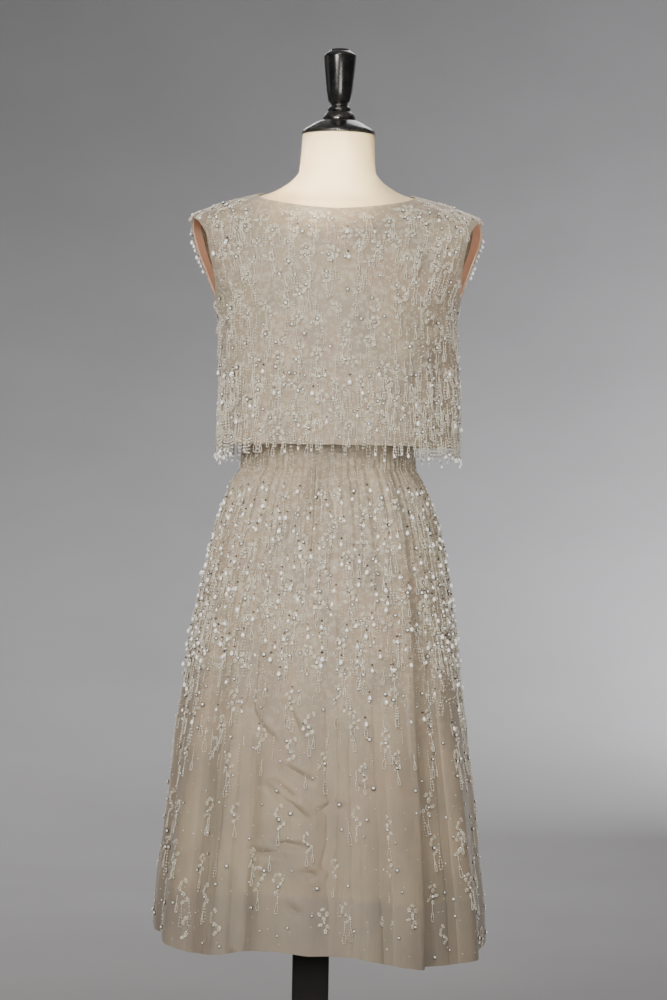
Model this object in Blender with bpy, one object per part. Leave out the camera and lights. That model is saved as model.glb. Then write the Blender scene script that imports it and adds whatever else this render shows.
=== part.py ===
"""A short sleeveless cocktail dress of the 1960s, on a limbless dress form with a post and a round foot.

Units are metres and +Z is up. The origin is on the ground under the post. The dress faces -Y, and left and
right are the viewer's. The cloth follows level sections: each row of a table gives the half width and the
depths at one height, and an angle round the body (0 at centre front, 90 at the right side) gives the point.
"""
import math

import bmesh
import bpy
import numpy as np

GAP = 0.0003
CLOTH = 0.0015
FORM_X = 0.0117
LEAN = 0.0135
LEAN_Z = 1.0
SQUARENESS = 0.93

# Heights above the ground
FOOT_THICK = 0.008
FORM_BASE_Z = 0.735
HEM_Z = 0.378
WAIST_SEAM_Z = 1.019
BAND_TOP_Z = 1.059
OVERBODICE_HEM_Z = 1.050
UNDERARM_Z = 1.246
SHOULDER_TIP_Z = 1.361
YOKE_START_Z = 1.325
NECK_FRONT_Z = 1.3706
NECK_SIDE_Z = 1.3965

# Stand
FOOT_RADIUS = 0.170
FOOT_EDGE = 0.002
POST_WIDE = 0.0502
POST_EDGE = 0.002

# Armholes and their facings
ARMHOLE_FRONT = 0.057
ARMHOLE_BACK = 0.026
ARMHOLE_SQUARE = 2.8
FACING_WIDE = 0.018
FACING_RISE = 0.0095
FACING_THICK = 0.0010
LAP_WIDE = 0.012
# The facing keeps at least this share of its width where the armhole has closed
FACING_LEAST = 0.9
# How fast the neckline rises from its front to its sides
NECK_CURVE = 1.4

# Overbodice sections: height, half width, depth to the front, depth to the back, sideways shift
BODICE = [
    (1.050, 0.1650, 0.126, 0.112, 0.011),
    (1.095, 0.1645, 0.129, 0.110, 0.010),
    (1.150, 0.1640, 0.133, 0.107, 0.008),
    (1.205, 0.1640, 0.134, 0.107, 0.007),
    (1.246, 0.1695, 0.130, 0.108, 0.006),
    (1.266, 0.1785, 0.126, 0.108, 0.005),
    (1.290, 0.1885, 0.119, 0.107, 0.004),
    (1.310, 0.1965, 0.112, 0.105, 0.003),
    (1.328, 0.2030, 0.104, 0.101, 0.003),
    (1.345, 0.2055, 0.095, 0.096, 0.002),
    (1.361, 0.2000, 0.085, 0.088, 0.001),
    (1.373, 0.1760, 0.0775, 0.0795, 0.000),
    (1.3838, 0.1500, 0.0675, 0.0695, 0.000),
    (1.3905, 0.1280, 0.0600, 0.0620, 0.000),
    (1.397, 0.0990, 0.0570, 0.0580, 0.000),
]
# Waves of the hanging overbodice: how many go round, how high, where they start
BODICE_WAVES = [(5, 0.0022, 0.7), (9, 0.0016, 2.1)]
WAVE_TOP_Z = 1.24
WAVE_FADE = 0.17
BODICE_ROWS_LOW = 5
BODICE_ROWS_ARM = 7
BODICE_ROWS_YOKE = 3
BODICE_COLUMNS = 12

# Skirt sections: height, half width, depth to the front, depth to the back, sideways shift
SKIRT = [
    (0.3780, 0.2290, 0.205, 0.200, 0.0080),
    (0.4460, 0.2240, 0.192, 0.190, 0.0068),
    (0.5120, 0.2165, 0.180, 0.180, 0.0055),
    (0.5785, 0.2090, 0.168, 0.170, 0.0042),
    (0.6450, 0.2010, 0.158, 0.161, 0.0020),
    (0.7110, 0.1920, 0.149, 0.153, 0.0010),
    (0.7780, 0.1835, 0.140, 0.144, 0.0010),
    (0.8440, 0.1730, 0.132, 0.136, 0.0010),
    (0.9100, 0.1590, 0.123, 0.126, 0.0020),
    (0.9430, 0.1505, 0.117, 0.120, 0.0020),
    (0.9765, 0.1390, 0.110, 0.112, 0.0010),
    (1.0000, 0.1290, 0.102, 0.103, 0.0000),
    (1.0190, 0.1190, 0.0937, 0.0947, 0.0000),
]
SKIRT_ROWS = [0.378, 0.445, 0.530, 0.620, 0.710, 0.790, 0.860, 0.920, 0.965, 0.998, 1.019]

# Dress form sections: height, half width, depth to the front, depth to the back
FORM = [
    (0.735, 0.128, 0.090, 0.096),
    (0.742, 0.138, 0.098, 0.106),
    (0.775, 0.148, 0.103, 0.114),
    (0.830, 0.153, 0.107, 0.118),
    (0.890, 0.149, 0.105, 0.115),
    (0.945, 0.136, 0.099, 0.106),
    (0.988, 0.1225, 0.0925, 0.0950),
    (1.0185, 0.1170, 0.0915, 0.0925),
    (1.0595, 0.1170, 0.0915, 0.0925),
    (1.100, 0.121, 0.099, 0.095),
    (1.150, 0.129, 0.114, 0.098),
    (1.200, 0.138, 0.124, 0.100),
    (1.240, 0.144, 0.121, 0.101),
    (1.280, 0.150, 0.110, 0.100),
    (1.315, 0.158, 0.096, 0.095),
    (1.340, 0.1640, 0.086, 0.088),
    (1.358, 0.1690, 0.078, 0.080),
    (1.3680, 0.1680, 0.074, 0.076),
    (1.3745, 0.1610, 0.070, 0.072),
    (1.3810, 0.1485, 0.0655, 0.0675),
    (1.3878, 0.1265, 0.0580, 0.0595),
    (1.3943, 0.0985, 0.0540, 0.0550),
    (1.3995, 0.0850, 0.0530, 0.0535),
    (1.4060, 0.0740, 0.0520, 0.0525),
    (1.4140, 0.0630, 0.0515, 0.0515),
    (1.4280, 0.0527, 0.0510, 0.0510),
    (1.4780, 0.0496, 0.0496, 0.0496),
]
FORM_COLUMNS = 36
BAND_OFF_FORM = 0.0004

# Skirt folds: angle at the waist, angle at the hem, half breadth in degrees, height at the hem (+ out, - in),
# height above the ground at which the fold has faded out
FOLDS = [
    (3.0, 2.0, 3.0, -0.0040, 1.010),
    (14.0, 15.0, 6.0, 0.0050, 0.800),
    (-9.0, -10.0, 6.0, 0.0040, 0.760),
    (-22.0, -26.5, 4.0, -0.0120, 0.900),
    (-33.0, -36.0, 5.5, 0.0070, 0.900),
    (-44.0, -47.0, 5.0, -0.0060, 0.860),
    (-55.0, -59.0, 5.0, 0.0090, 0.880),
    (-72.0, -75.0, 6.0, -0.0070, 0.840),
    (60.0, 63.0, 6.0, 0.0080, 0.880),
    (75.0, 77.0, 6.0, -0.0060, 0.820),
    (100.0, 102.0, 6.0, 0.0070, 0.850),
    (116.0, 119.0, 6.0, -0.0100, 0.880),
    (133.0, 136.0, 6.0, 0.0080, 0.860),
    (150.0, 153.0, 6.0, -0.0080, 0.900),
    (165.0, 166.0, 6.0, 0.0060, 0.820),
    (-100.0, -101.0, 6.0, 0.0060, 0.840),
    (-118.0, -120.0, 6.0, -0.0090, 0.900),
    (-135.0, -137.0, 6.0, 0.0080, 0.860),
    (-152.0, -154.0, 6.0, -0.0080, 0.880),
    (-166.0, -167.0, 6.0, 0.0060, 0.820),
]

# The deep pleat on the right: its edge's angle, how far its top layer stands off, how far it laps and sinks
PLEAT_ANGLE_WAIST = 39.5
PLEAT_ANGLE_HEM = 33.6
PLEAT_RISE_WAIST = 0.0070
PLEAT_RISE_HEM = 0.0230
PLEAT_LAP_WAIST = 0.010
PLEAT_LAP_HEM = 0.022
PLEAT_SINK_HEM = 0.0130
PLEAT_LEAD = 32.0
# Degrees before and after the edge that the pleat's own columns take
PLEAT_BEFORE = 6.0
PLEAT_AFTER = 5.0
# An oval's girth to a degree, against a circle of its half width
PLEAT_GIRTH = 0.95
# Way through the pleat: share of the lap, share of the rise sideways, share of the rise outward
PLEAT_PATH = [
    (0.55, 0.00, 1.00),
    (0.15, 0.00, 1.00),
    (0.00, 0.14, 0.93),
    (0.00, 0.27, 0.70),
    (0.00, 0.14, 0.46),
    (0.15, 0.00, 0.39),
    (0.85, 0.00, 0.35),
    (1.00, -0.14, 0.27),
    (1.00, -0.18, 0.18),
    (1.00, -0.12, 0.07),
    (0.85, 0.00, 0.00),
    (0.30, 0.00, 0.00),
    (-0.30, 0.00, 0.00),
]

# Angle round the body, and how far the hem drops there below its level
HEM_DROP = [(-180, 0.0), (-110, -0.003), (-90, -0.005), (-65, -0.004), (-50, 0.009), (-33, 0.004), (-20, -0.005),
            (-12, -0.006), (-3, -0.001), (10, 0.000), (17, 0.006), (26, 0.014), (34, 0.019), (53, 0.020),
            (63, 0.018), (75, 0.013), (95, 0.008), (130, 0.003), (180, 0.0)]

GATHERS_FRONT = 26
GATHERS_BACK = 22
GATHER_HIGH = 0.0034
GATHER_AT_SEAM = 0.30
GATHER_FADE_Z = 0.860
GATHER_FULL_Z = 0.998
GATHER_MEAN = 0.75
GATHER_CHANGE = 0.25
# How soon a fold grows below its top
FOLD_GROWTH = 0.8

# Steps at which the cloth's direction is measured, in degrees and metres
ANGLE_STEP = 0.4
HEIGHT_STEP = 0.0006

# Bead fringe at the overbodice's hem
FRINGE_FRONT = 50
FRINGE_BACK = 22
FRINGE_LOW_Z = 1.0525
FRINGE_HIGH_Z = 1.0560
FRINGE_OFF = 0.0009
FRINGE_THICK = 0.0012
FRINGE_STRAND = 0.0018
FRINGE_TAPER = 0.8
FRINGE_DROP = (0.0165, 0.0205, 0.0180, 0.0220, 0.0150)

# Turned profiles: radius, height
NECK_CAP = [(0.0, 1.4783), (0.0500, 1.4783), (0.0512, 1.4800), (0.0500, 1.4835), (0.0430, 1.4890),
            (0.0340, 1.4945), (0.0245, 1.4985), (0.0, 1.4985)]
NECK_HANDLE = [(0.0, 1.4988), (0.0225, 1.4988), (0.0225, 1.5020), (0.0205, 1.5060), (0.0180, 1.5095),
               (0.0150, 1.5110), (0.0161, 1.5135), (0.0150, 1.5165), (0.0116, 1.5190), (0.0122, 1.5215),
               (0.0156, 1.5255), (0.0222, 1.5865), (0.0222, 1.5885), (0.0140, 1.5945), (0.0127, 1.5969),
               (0.0, 1.5969)]
TURNED_SIDES = 24

# Colour, roughness, metallic
FINISHES = {
    "dress_cloth": ((0.46, 0.41, 0.34), 0.70, 0.0),
    "facing_satin": ((0.66, 0.30, 0.20), 0.50, 0.0),
    "beads": ((0.72, 0.68, 0.60), 0.25, 0.0),
    "form_jersey": ((0.80, 0.72, 0.58), 0.85, 0.0),
    "turned_black": ((0.010, 0.010, 0.011), 0.22, 0.0),
    "stand_black": ((0.012, 0.011, 0.010), 0.55, 0.0),
}


def clear_scene():
    for item in list(bpy.data.objects):
        bpy.data.objects.remove(item, do_unlink=True)


def blend(low, high, share):
    return low + (high - low) * share


def ease(share):
    share = min(1.0, max(0.0, share))
    return share * share * (3.0 - 2.0 * share)


def even_slope(chord_before, chord_after):
    """A slope between two chords that never overshoots either."""
    if chord_before * chord_after <= 0:
        return 0.0
    return 2 * chord_before * chord_after / (chord_before + chord_after)


def section(table, height):
    """The values of a table at any height, on a smooth curve through its rows."""
    rows = np.array(table)
    height = min(max(height, rows[0, 0]), rows[-1, 0])
    index = min(max(int(np.searchsorted(rows[:, 0], height)) - 1, 0), len(rows) - 2)
    span = rows[index + 1, 0] - rows[index, 0]
    share = (height - rows[index, 0]) / span
    chords = np.diff(rows[:, 1:], axis=0) / np.diff(rows[:, 0])[:, None]
    square, cube = share ** 2, share ** 3
    values = []
    for column in range(rows.shape[1] - 1):
        chord = chords[index, column]
        start = even_slope(chords[index - 1, column], chord) if index > 0 else chord
        end = even_slope(chord, chords[index + 1, column]) if index + 1 < len(chords) else chord
        values.append((2 * cube - 3 * square + 1) * rows[index, column + 1]
                      + (3 * square - 2 * cube) * rows[index + 1, column + 1]
                      + (cube - 2 * square + share) * span * start
                      + (cube - square) * span * end)
    return values


def axis_x(height):
    """The form leans a little to the right of its post."""
    return FORM_X + LEAN * (height - LEAN_Z)


def ring_point(table, height, angle):
    """A point of a level section, an oval a little squarer than an ellipse."""
    width, front, back, *shift = section(table, height)
    side, ahead = math.sin(math.radians(angle)), math.cos(math.radians(angle))
    across = math.copysign(abs(side) ** SQUARENESS, side) * width
    along = math.copysign(abs(ahead) ** SQUARENESS, ahead) * (front if ahead > 0 else back)
    return np.array([axis_x(height) + across + sum(shift), -along, height])


def outward(angle):
    return np.array([math.sin(math.radians(angle)), -math.cos(math.radians(angle)), 0.0])


def unit(vector):
    return vector / max(np.linalg.norm(vector), 1e-12)


def wall(quads, outer, inner):
    """A closed wall: its outer and inner faces over the same cells, joined along every free edge."""
    keys = sorted({key for quad in quads for key in quad})
    place = {key: index for index, key in enumerate(keys)}
    points = [outer[key] for key in keys] + [inner[key] for key in keys]
    count = len(keys)
    faces = []
    edges = {}
    for quad in quads:
        ring = [place[key] for key in quad]
        faces.append(ring)
        faces.append([index + count for index in reversed(ring)])
        edges.update(dict.fromkeys(zip(ring, ring[1:] + ring[:1])))
    for a, b in edges:
        if (b, a) not in edges:
            faces.append([b, a, a + count, b + count])
    return points, faces


def grid_quads(rows, columns):
    return [[(r, c), (r, c + 1), (r + 1, c + 1), (r + 1, c)] for r in range(rows - 1) for c in range(columns - 1)]


def make_object(name, points, faces, finish, smooth_angle=40.0):
    mesh = bpy.data.meshes.new(name)
    mesh.from_pydata([tuple(map(float, point)) for point in points], [], faces)
    shape = bmesh.new()
    shape.from_mesh(mesh)
    bmesh.ops.triangulate(shape, faces=[face for face in shape.faces if len(face.verts) == 4],
                          quad_method="SHORT_EDGE")
    bmesh.ops.recalc_face_normals(shape, faces=shape.faces)
    shape.to_mesh(mesh)
    shape.free()
    mesh.shade_smooth()
    mesh.set_sharp_from_angle(angle=math.radians(smooth_angle))
    item = bpy.data.objects.new(name, mesh)
    bpy.context.collection.objects.link(item)
    item.data.materials.append(material(finish))
    return item


def material(name):
    if name in bpy.data.materials:
        return bpy.data.materials[name]
    colour, roughness, metallic = FINISHES[name]
    made = bpy.data.materials.new(name)
    made.use_nodes = True
    shader = made.node_tree.nodes["Principled BSDF"]
    shader.inputs["Base Color"].default_value = (*colour, 1.0)
    shader.inputs["Roughness"].default_value = roughness
    shader.inputs["Metallic"].default_value = metallic
    return made


def neck_top(angle):
    side = abs(math.sin(math.radians(angle)))
    return NECK_FRONT_Z + (NECK_SIDE_Z - NECK_FRONT_Z) * side ** NECK_CURVE


def armhole_oval(height, back, wider=0.0):
    """How far an oval round the armhole stands from the side line at a height."""
    middle = (UNDERARM_Z + SHOULDER_TIP_Z) / 2
    half = (SHOULDER_TIP_Z - UNDERARM_Z) / 2
    grown = wider * (FACING_RISE / FACING_WIDE if height > middle else 1.0)
    share = (height - middle) / (half + grown)
    if abs(share) >= 1:
        return 0.0
    reach = (ARMHOLE_BACK if back else ARMHOLE_FRONT) + wider
    return reach * (1 - abs(share) ** ARMHOLE_SQUARE) ** (1 / ARMHOLE_SQUARE)


def angle_at(height, back, reach):
    """Angle from the centre at which the bodice stands a given reach from its side line."""
    depth = section(BODICE, height)[2 if back else 1]
    return math.degrees(math.acos(min(1.0, reach / depth) ** (1 / SQUARENESS)))


def bodice_wave(height, angle):
    """Soft waves of the hanging cloth, deepest at its free hem."""
    turn = math.radians(angle)
    waves = sum(high * math.sin(count * turn + start) for count, high, start in BODICE_WAVES)
    return ease((WAVE_TOP_Z - height) / WAVE_FADE) * waves


def bodice_surface(angle, height):
    return ring_point(BODICE, height, angle) + outward(angle) * bodice_wave(height, angle)


def bodice_point(angle, height, inward):
    across = bodice_surface(angle + ANGLE_STEP, height) - bodice_surface(angle - ANGLE_STEP, height)
    up = bodice_surface(angle, height + HEIGHT_STEP) - bodice_surface(angle, height - HEIGHT_STEP)
    normal = np.cross(across, up)
    if abs(abs(angle) - 90.0) < 1e-6:
        normal[1] = 0.0
    return bodice_surface(angle, height) - unit(normal) * inward


def bodice_heights():
    """Row heights of every panel at its side line: below the armhole, beside it and over the shoulder."""
    below = UNDERARM_Z - FACING_WIDE
    low = [blend(OVERBODICE_HEM_Z, below, i / BODICE_ROWS_LOW) for i in range(BODICE_ROWS_LOW + 1)]
    middle = (UNDERARM_Z + SHOULDER_TIP_Z) / 2
    half = (SHOULDER_TIP_Z - UNDERARM_Z) / 2
    arm = [middle - half * math.cos(math.pi * i / BODICE_ROWS_ARM) for i in range(BODICE_ROWS_ARM + 1)]
    first = SHOULDER_TIP_Z + FACING_RISE
    yoke = [blend(first, NECK_SIDE_Z, i / BODICE_ROWS_YOKE) for i in range(BODICE_ROWS_YOKE + 1)]
    return low + arm + yoke


def row_place(row_z, angle):
    """Above the yoke line the rows draw together, so that the top one follows the neckline."""
    if row_z <= YOKE_START_Z:
        return row_z
    return blend(YOKE_START_Z, neck_top(angle), (row_z - YOKE_START_Z) / (NECK_SIDE_Z - YOKE_START_Z))


def bodice_angles(row_z, back):
    """Angles of one row's columns: even to the facing's inner edge, and then the armhole's edge or the seam."""
    edge = angle_at(row_z, back, armhole_oval(row_z, back))
    band = angle_at(row_z, back, max(FACING_LEAST * FACING_WIDE, armhole_oval(row_z, back, FACING_WIDE)))
    lap = math.degrees(LAP_WIDE / section(BODICE, row_z)[0]) if back else 0.0
    spread = [blend(lap, band, i / (BODICE_COLUMNS - 1)) for i in range(BODICE_COLUMNS)]
    return [-lap] + spread + [edge] if back else spread + [edge]


def side_points(back, left, depth_of):
    """Half a panel for either side. The left side has its own waves, so it is worked out and not mirrored."""
    grid = {}
    for r, row_z in enumerate(bodice_heights()):
        for c, angle in enumerate(bodice_angles(row_z, back)):
            height = row_place(row_z, angle)
            body_angle = 180.0 - angle if back else angle
            body_angle = -body_angle if left else body_angle
            grid[(r, c)] = bodice_point(body_angle, height, depth_of(c))
    return grid


def part_at_seam(grid, column, back):
    """Draws the seam and armhole edge back by half the gap, towards the panel's own side."""
    shift = np.array([0.0, GAP / 2 if back else -GAP / 2, 0.0])
    return {key: point + shift if key[1] == column else point for key, point in grid.items()}


def build_bodice_front():
    rows, columns = len(bodice_heights()), BODICE_COLUMNS + 1
    layers = []
    for depth in (0.0, CLOTH):
        right = part_at_seam(side_points(False, False, lambda c: depth), columns - 1, False)
        left = part_at_seam(side_points(False, True, lambda c: depth), columns - 1, False)
        layer = {(r, columns - 1 + c): right[(r, c)] for r in range(rows) for c in range(columns)}
        layer.update({(r, columns - 1 - c): left[(r, c)] for r in range(rows) for c in range(1, columns)})
        layers.append(layer)
    quads = grid_quads(rows, 2 * columns - 1)
    make_object("bodice_front", *wall(quads, *layers), "dress_cloth")
    return layers[0]


def build_bodice_back(left):
    """Two panels that lap down the centre back. The right one passes beneath."""
    rows, columns = len(bodice_heights()), BODICE_COLUMNS + 2
    under = 0.0 if left else CLOTH + GAP
    layers = []
    for depth in (0.0, CLOTH):
        grid = side_points(True, left, lambda c: depth + (under if c < 2 else 0.0))
        layers.append(part_at_seam(grid, columns - 1, True))
    name = "bodice_back_left" if left else "bodice_back_right"
    make_object(name, *wall(grid_quads(rows, columns), *layers), "dress_cloth")
    return layers[0]


def build_facing(left):
    """A band inside the armhole, made from the panels' own points, moved in."""
    heights = bodice_heights()
    first = BODICE_ROWS_LOW
    last = BODICE_ROWS_LOW + BODICE_ROWS_ARM + 2
    front_edge, back_edge = BODICE_COLUMNS, BODICE_COLUMNS + 1
    layers = []
    for depth in (CLOTH + GAP, CLOTH + GAP + FACING_THICK):
        front = side_points(False, left, lambda c: depth)
        back = side_points(True, left, lambda c: depth)
        layer = {}
        for r in range(first, last + 1):
            layer[(r, 0)] = front[(r, front_edge - 1)]
            layer[(r, 1)] = front[(r, front_edge)]
            layer[(r, 3)] = back[(r, back_edge - 1)]
            if UNDERARM_Z < heights[r] < SHOULDER_TIP_Z - 1e-6:
                layer[(r, 2)] = back[(r, back_edge)]
        layers.append(layer)
    quads = []
    for r in range(first, last):
        back_low = (r, 2) if (r, 2) in layers[0] else (r, 1)
        back_high = (r + 1, 2) if (r + 1, 2) in layers[0] else (r + 1, 1)
        quads.append([(r, 0), (r, 1), (r + 1, 1), (r + 1, 0)])
        quads.append([back_low, (r, 3), (r + 1, 3), back_high])
    name = "armhole_facing_left" if left else "armhole_facing_right"
    make_object(name, *wall(quads, *layers), "facing_satin")


def skirt_stations():
    """The columns of the skirt all round, from one side seam by the front to the same seam again."""
    stations = []
    before = -90.0
    pleat_start = PLEAT_ANGLE_WAIST - PLEAT_BEFORE
    pleat_end = PLEAT_ANGLE_WAIST + PLEAT_AFTER
    front_step = 180.0 / (2 * GATHERS_FRONT)
    angle = before
    while angle < pleat_start - front_step / 2:
        stations.append(("cloth", angle))
        angle += front_step
    stations += [("pleat", index) for index in range(len(PLEAT_PATH))]
    angle = before + front_step * math.ceil((pleat_end - before) / front_step)
    while angle < 90.0 - 1e-6:
        stations.append(("cloth", angle))
        angle += front_step
    back_step = 180.0 / (2 * GATHERS_BACK)
    stations += [("cloth", 90.0 + back_step * i) for i in range(2 * GATHERS_BACK)]
    return stations


def fold_height(angle, height):
    total = 0.0
    for waist_angle, hem_angle, breadth, high, fade_z in FOLDS:
        down = (fade_z - height) / (fade_z - HEM_Z)
        if down <= 0:
            continue
        at = blend(waist_angle, hem_angle, (WAIST_SEAM_Z - height) / (WAIST_SEAM_Z - HEM_Z))
        away = (angle - at + 180.0) % 360.0 - 180.0
        total += high * ease(down) ** FOLD_GROWTH * math.exp(-(away / breadth) ** 2)
    return total


def gather_height(angle, height):
    """Gathers under the waistband, crest and trough on alternate columns, fading downwards."""
    count = GATHERS_FRONT if -90.0 <= angle < 90.0 else GATHERS_BACK
    crest = 0.5 - 0.5 * math.cos(math.radians((angle + 90.0) * 2 * count))
    down = (height - GATHER_FADE_Z) / (WAIST_SEAM_Z - GATHER_FADE_Z)
    strength = ease(down)
    if height > GATHER_FULL_Z:
        strength = blend(1.0, GATHER_AT_SEAM, (height - GATHER_FULL_Z) / (WAIST_SEAM_Z - GATHER_FULL_Z))
    uneven = GATHER_MEAN + GATHER_CHANGE * math.sin(math.radians(angle * 7.0 + 40.0))
    return GATHER_HIGH * crest * strength * uneven


def pleat_sizes(height):
    down = (WAIST_SEAM_Z - height) / (WAIST_SEAM_Z - HEM_Z)
    return (blend(PLEAT_ANGLE_WAIST, PLEAT_ANGLE_HEM, down), blend(PLEAT_RISE_WAIST, PLEAT_RISE_HEM, down),
            blend(PLEAT_LAP_WAIST, PLEAT_LAP_HEM, down), PLEAT_SINK_HEM * down)


def hem_drop(angle, height):
    low = ((WAIST_SEAM_Z - height) / (WAIST_SEAM_Z - HEM_Z)) ** 3
    angles, drops = zip(*HEM_DROP)
    return low * float(np.interp((angle + 180.0) % 360.0 - 180.0, angles, drops))


def skirt_point(station, height):
    """A point of the skirt. Down its length the cloth also drops to its own uneven hem."""
    point, angle = skirt_level_point(station, height)
    point[2] -= hem_drop(angle, height)
    return point


def skirt_level_point(station, height):
    kind, value = station
    edge_angle, rise, lap, sink = pleat_sizes(height)
    width = section(SKIRT, height)[0]
    if kind == "pleat":
        along, sideways, out = PLEAT_PATH[value]
        angle = edge_angle + math.degrees((sideways * rise - along * lap) / (PLEAT_GIRTH * width))
        return ring_point(SKIRT, height, angle) + outward(angle) * (rise * out - sink), angle
    angle = value
    wrapped = (angle + 180.0) % 360.0 - 180.0
    lead = 1.0 - ease(abs(wrapped - edge_angle) / PLEAT_LEAD)
    raised = lead * (rise - sink) if wrapped < edge_angle else -lead * sink
    raised += fold_height(wrapped, height) + gather_height(angle, height)
    return ring_point(SKIRT, height, angle) + outward(angle) * raised, angle


def skirt_layers():
    """Outer and inner points all round. The inner ones are moved in along the cloth's own normals."""
    stations = skirt_stations()
    count = len(stations)
    outer = {(r, c): skirt_point(station, height)
             for r, height in enumerate(SKIRT_ROWS) for c, station in enumerate(stations)}
    inner = {}
    top = len(SKIRT_ROWS) - 1
    for r in range(top + 1):
        for c in range(count):
            across = outer[(r, (c + 1) % count)] - outer[(r, (c - 1) % count)]
            up = outer[(min(r + 1, top), c)] - outer[(max(r - 1, 0), c)]
            normal = np.cross(across, up)
            normal[2] *= 0.0 if r in (0, top) else 1.0
            inner[(r, c)] = outer[(r, c)] - unit(normal) * CLOTH
    return stations, outer, inner


def build_skirt():
    stations, outer, inner = skirt_layers()
    count = len(stations)
    angles = [value if kind == "cloth" else PLEAT_ANGLE_WAIST for kind, value in stations]
    right_seam, centre_back = angles.index(90.0), angles.index(180.0)
    spans = {"skirt_front": (0, right_seam), "skirt_back_right": (right_seam, centre_back),
             "skirt_back_left": (centre_back, count)}
    rows = len(SKIRT_ROWS)
    for name, (start, end) in spans.items():
        columns = end - start + 1
        layers = []
        for source in (outer, inner):
            layer = {(r, c): source[(r, (start + c) % count)].copy() for r in range(rows) for c in range(columns)}
            for r in range(rows):
                layer[(r, 0)] += unit(layer[(r, 1)] - layer[(r, 0)]) * GAP / 2
                layer[(r, columns - 1)] += unit(layer[(r, columns - 2)] - layer[(r, columns - 1)]) * GAP / 2
            layers.append(layer)
        make_object(name, *wall(grid_quads(rows, columns), *layers), "dress_cloth")


def build_waistband():
    """The band lies on the form's waist, in a front and two halves of the back."""
    step = 360.0 / FORM_COLUMNS
    spans = {"waistband_front": (-90.0, 90.0), "waistband_back_right": (90.0, 180.0),
             "waistband_back_left": (180.0, 270.0)}
    for name, (start, end) in spans.items():
        columns = round((end - start) / step) + 1
        layers = []
        for off in (BAND_OFF_FORM + CLOTH, BAND_OFF_FORM):
            layer = {}
            for c in range(columns):
                angle = start + c * step
                for r, height in enumerate((WAIST_SEAM_Z + GAP, BAND_TOP_Z)):
                    layer[(r, c)] = ring_point(FORM, height, angle) + outward(angle) * off
            for r in (0, 1):
                layer[(r, 0)] += unit(layer[(r, 1)] - layer[(r, 0)]) * GAP / 2
                layer[(r, columns - 1)] += unit(layer[(r, columns - 2)] - layer[(r, columns - 1)]) * GAP / 2
            layers.append(layer)
        make_object(name, *wall(grid_quads(2, columns), *layers), "dress_cloth")


def row_line(layer, columns):
    """The panel's outer points at the two lowest rows, as lines along the hem."""
    return [layer[(0, c)] for c in columns], [layer[(1, c)] for c in columns]


def along_line(line, distance):
    """A point of a line at a distance from its start, with the outward direction there."""
    for start, end in zip(line, line[1:]):
        length = np.linalg.norm(end - start)
        if distance <= length:
            direction = (end - start) / length
            return start + direction * distance, np.array([direction[1], -direction[0], 0.0])
        distance -= length
    direction = unit(line[-1] - line[-2])
    return line[-1], np.array([direction[1], -direction[0], 0.0])


def build_fringe(name, layer, columns, strands):
    """A narrow strip on the cloth's outer face, with each strand grown from the strip's under face."""
    low_line, high_line = row_line(layer, columns)
    length = sum(np.linalg.norm(b - a) for a, b in zip(low_line, low_line[1:]))
    high_length = sum(np.linalg.norm(b - a) for a, b in zip(high_line, high_line[1:]))
    row_gap = high_line[0][2] - low_line[0][2]
    pitch = length / strands
    places = []
    for index in range(strands):
        middle = pitch * (index + 0.5)
        places += [middle - FRINGE_STRAND / 2, middle + FRINGE_STRAND / 2]
    places = [GAP] + places + [length - GAP]

    def station(distance, height, off):
        low, normal = along_line(low_line, distance)
        high, _ = along_line(high_line, distance * high_length / length)
        point = low + (high - low) * ((height - low[2]) / row_gap) + normal * off
        point[2] = height
        return point

    near, far = FRINGE_OFF, FRINGE_OFF + FRINGE_THICK
    points, faces = [], []
    for distance in places:
        points += [station(distance, FRINGE_LOW_Z, near), station(distance, FRINGE_LOW_Z, far),
                   station(distance, FRINGE_HIGH_Z, far), station(distance, FRINGE_HIGH_Z, near)]
    for s in range(len(places) - 1):
        a, b = 4 * s, 4 * (s + 1)
        faces += [[a + 1, b + 1, b + 2, a + 2], [a + 2, b + 2, b + 3, a + 3], [a + 3, b + 3, b, a]]
        is_root = s % 2 == 1
        if not is_root:
            faces.append([a, b, b + 1, a + 1])
            continue
        drop = FRINGE_DROP[(s // 2) % len(FRINGE_DROP)]
        tip = len(points)
        roots = (a, b, b + 1, a + 1)
        centre = sum(points[index] for index in roots) / 4
        for index in roots:
            end = centre + (points[index] - centre) * FRINGE_TAPER
            end[2] = FRINGE_LOW_Z - drop
            points.append(end)
        for k in range(4):
            faces.append([roots[k], roots[(k + 1) % 4], tip + (k + 1) % 4, tip + k])
        faces.append([tip, tip + 1, tip + 2, tip + 3])
    last = 4 * (len(places) - 1)
    faces += [[0, 1, 2, 3], [last + 3, last + 2, last + 1, last]]
    make_object(name, points, faces, "beads")


def loft(name, table, columns, finish):
    """A closed solid through every row of a table, with flat ends."""
    points, faces = [], []
    for row in table:
        points += [ring_point(table, row[0], 360.0 * c / columns) for c in range(columns)]
    for r in range(len(table) - 1):
        for c in range(columns):
            a, b = r * columns + c, r * columns + (c + 1) % columns
            faces.append([a, b, b + columns, a + columns])
    faces.append(list(reversed(range(columns))))
    faces.append([(len(table) - 1) * columns + c for c in range(columns)])
    make_object(name, points, faces, finish)


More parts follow.
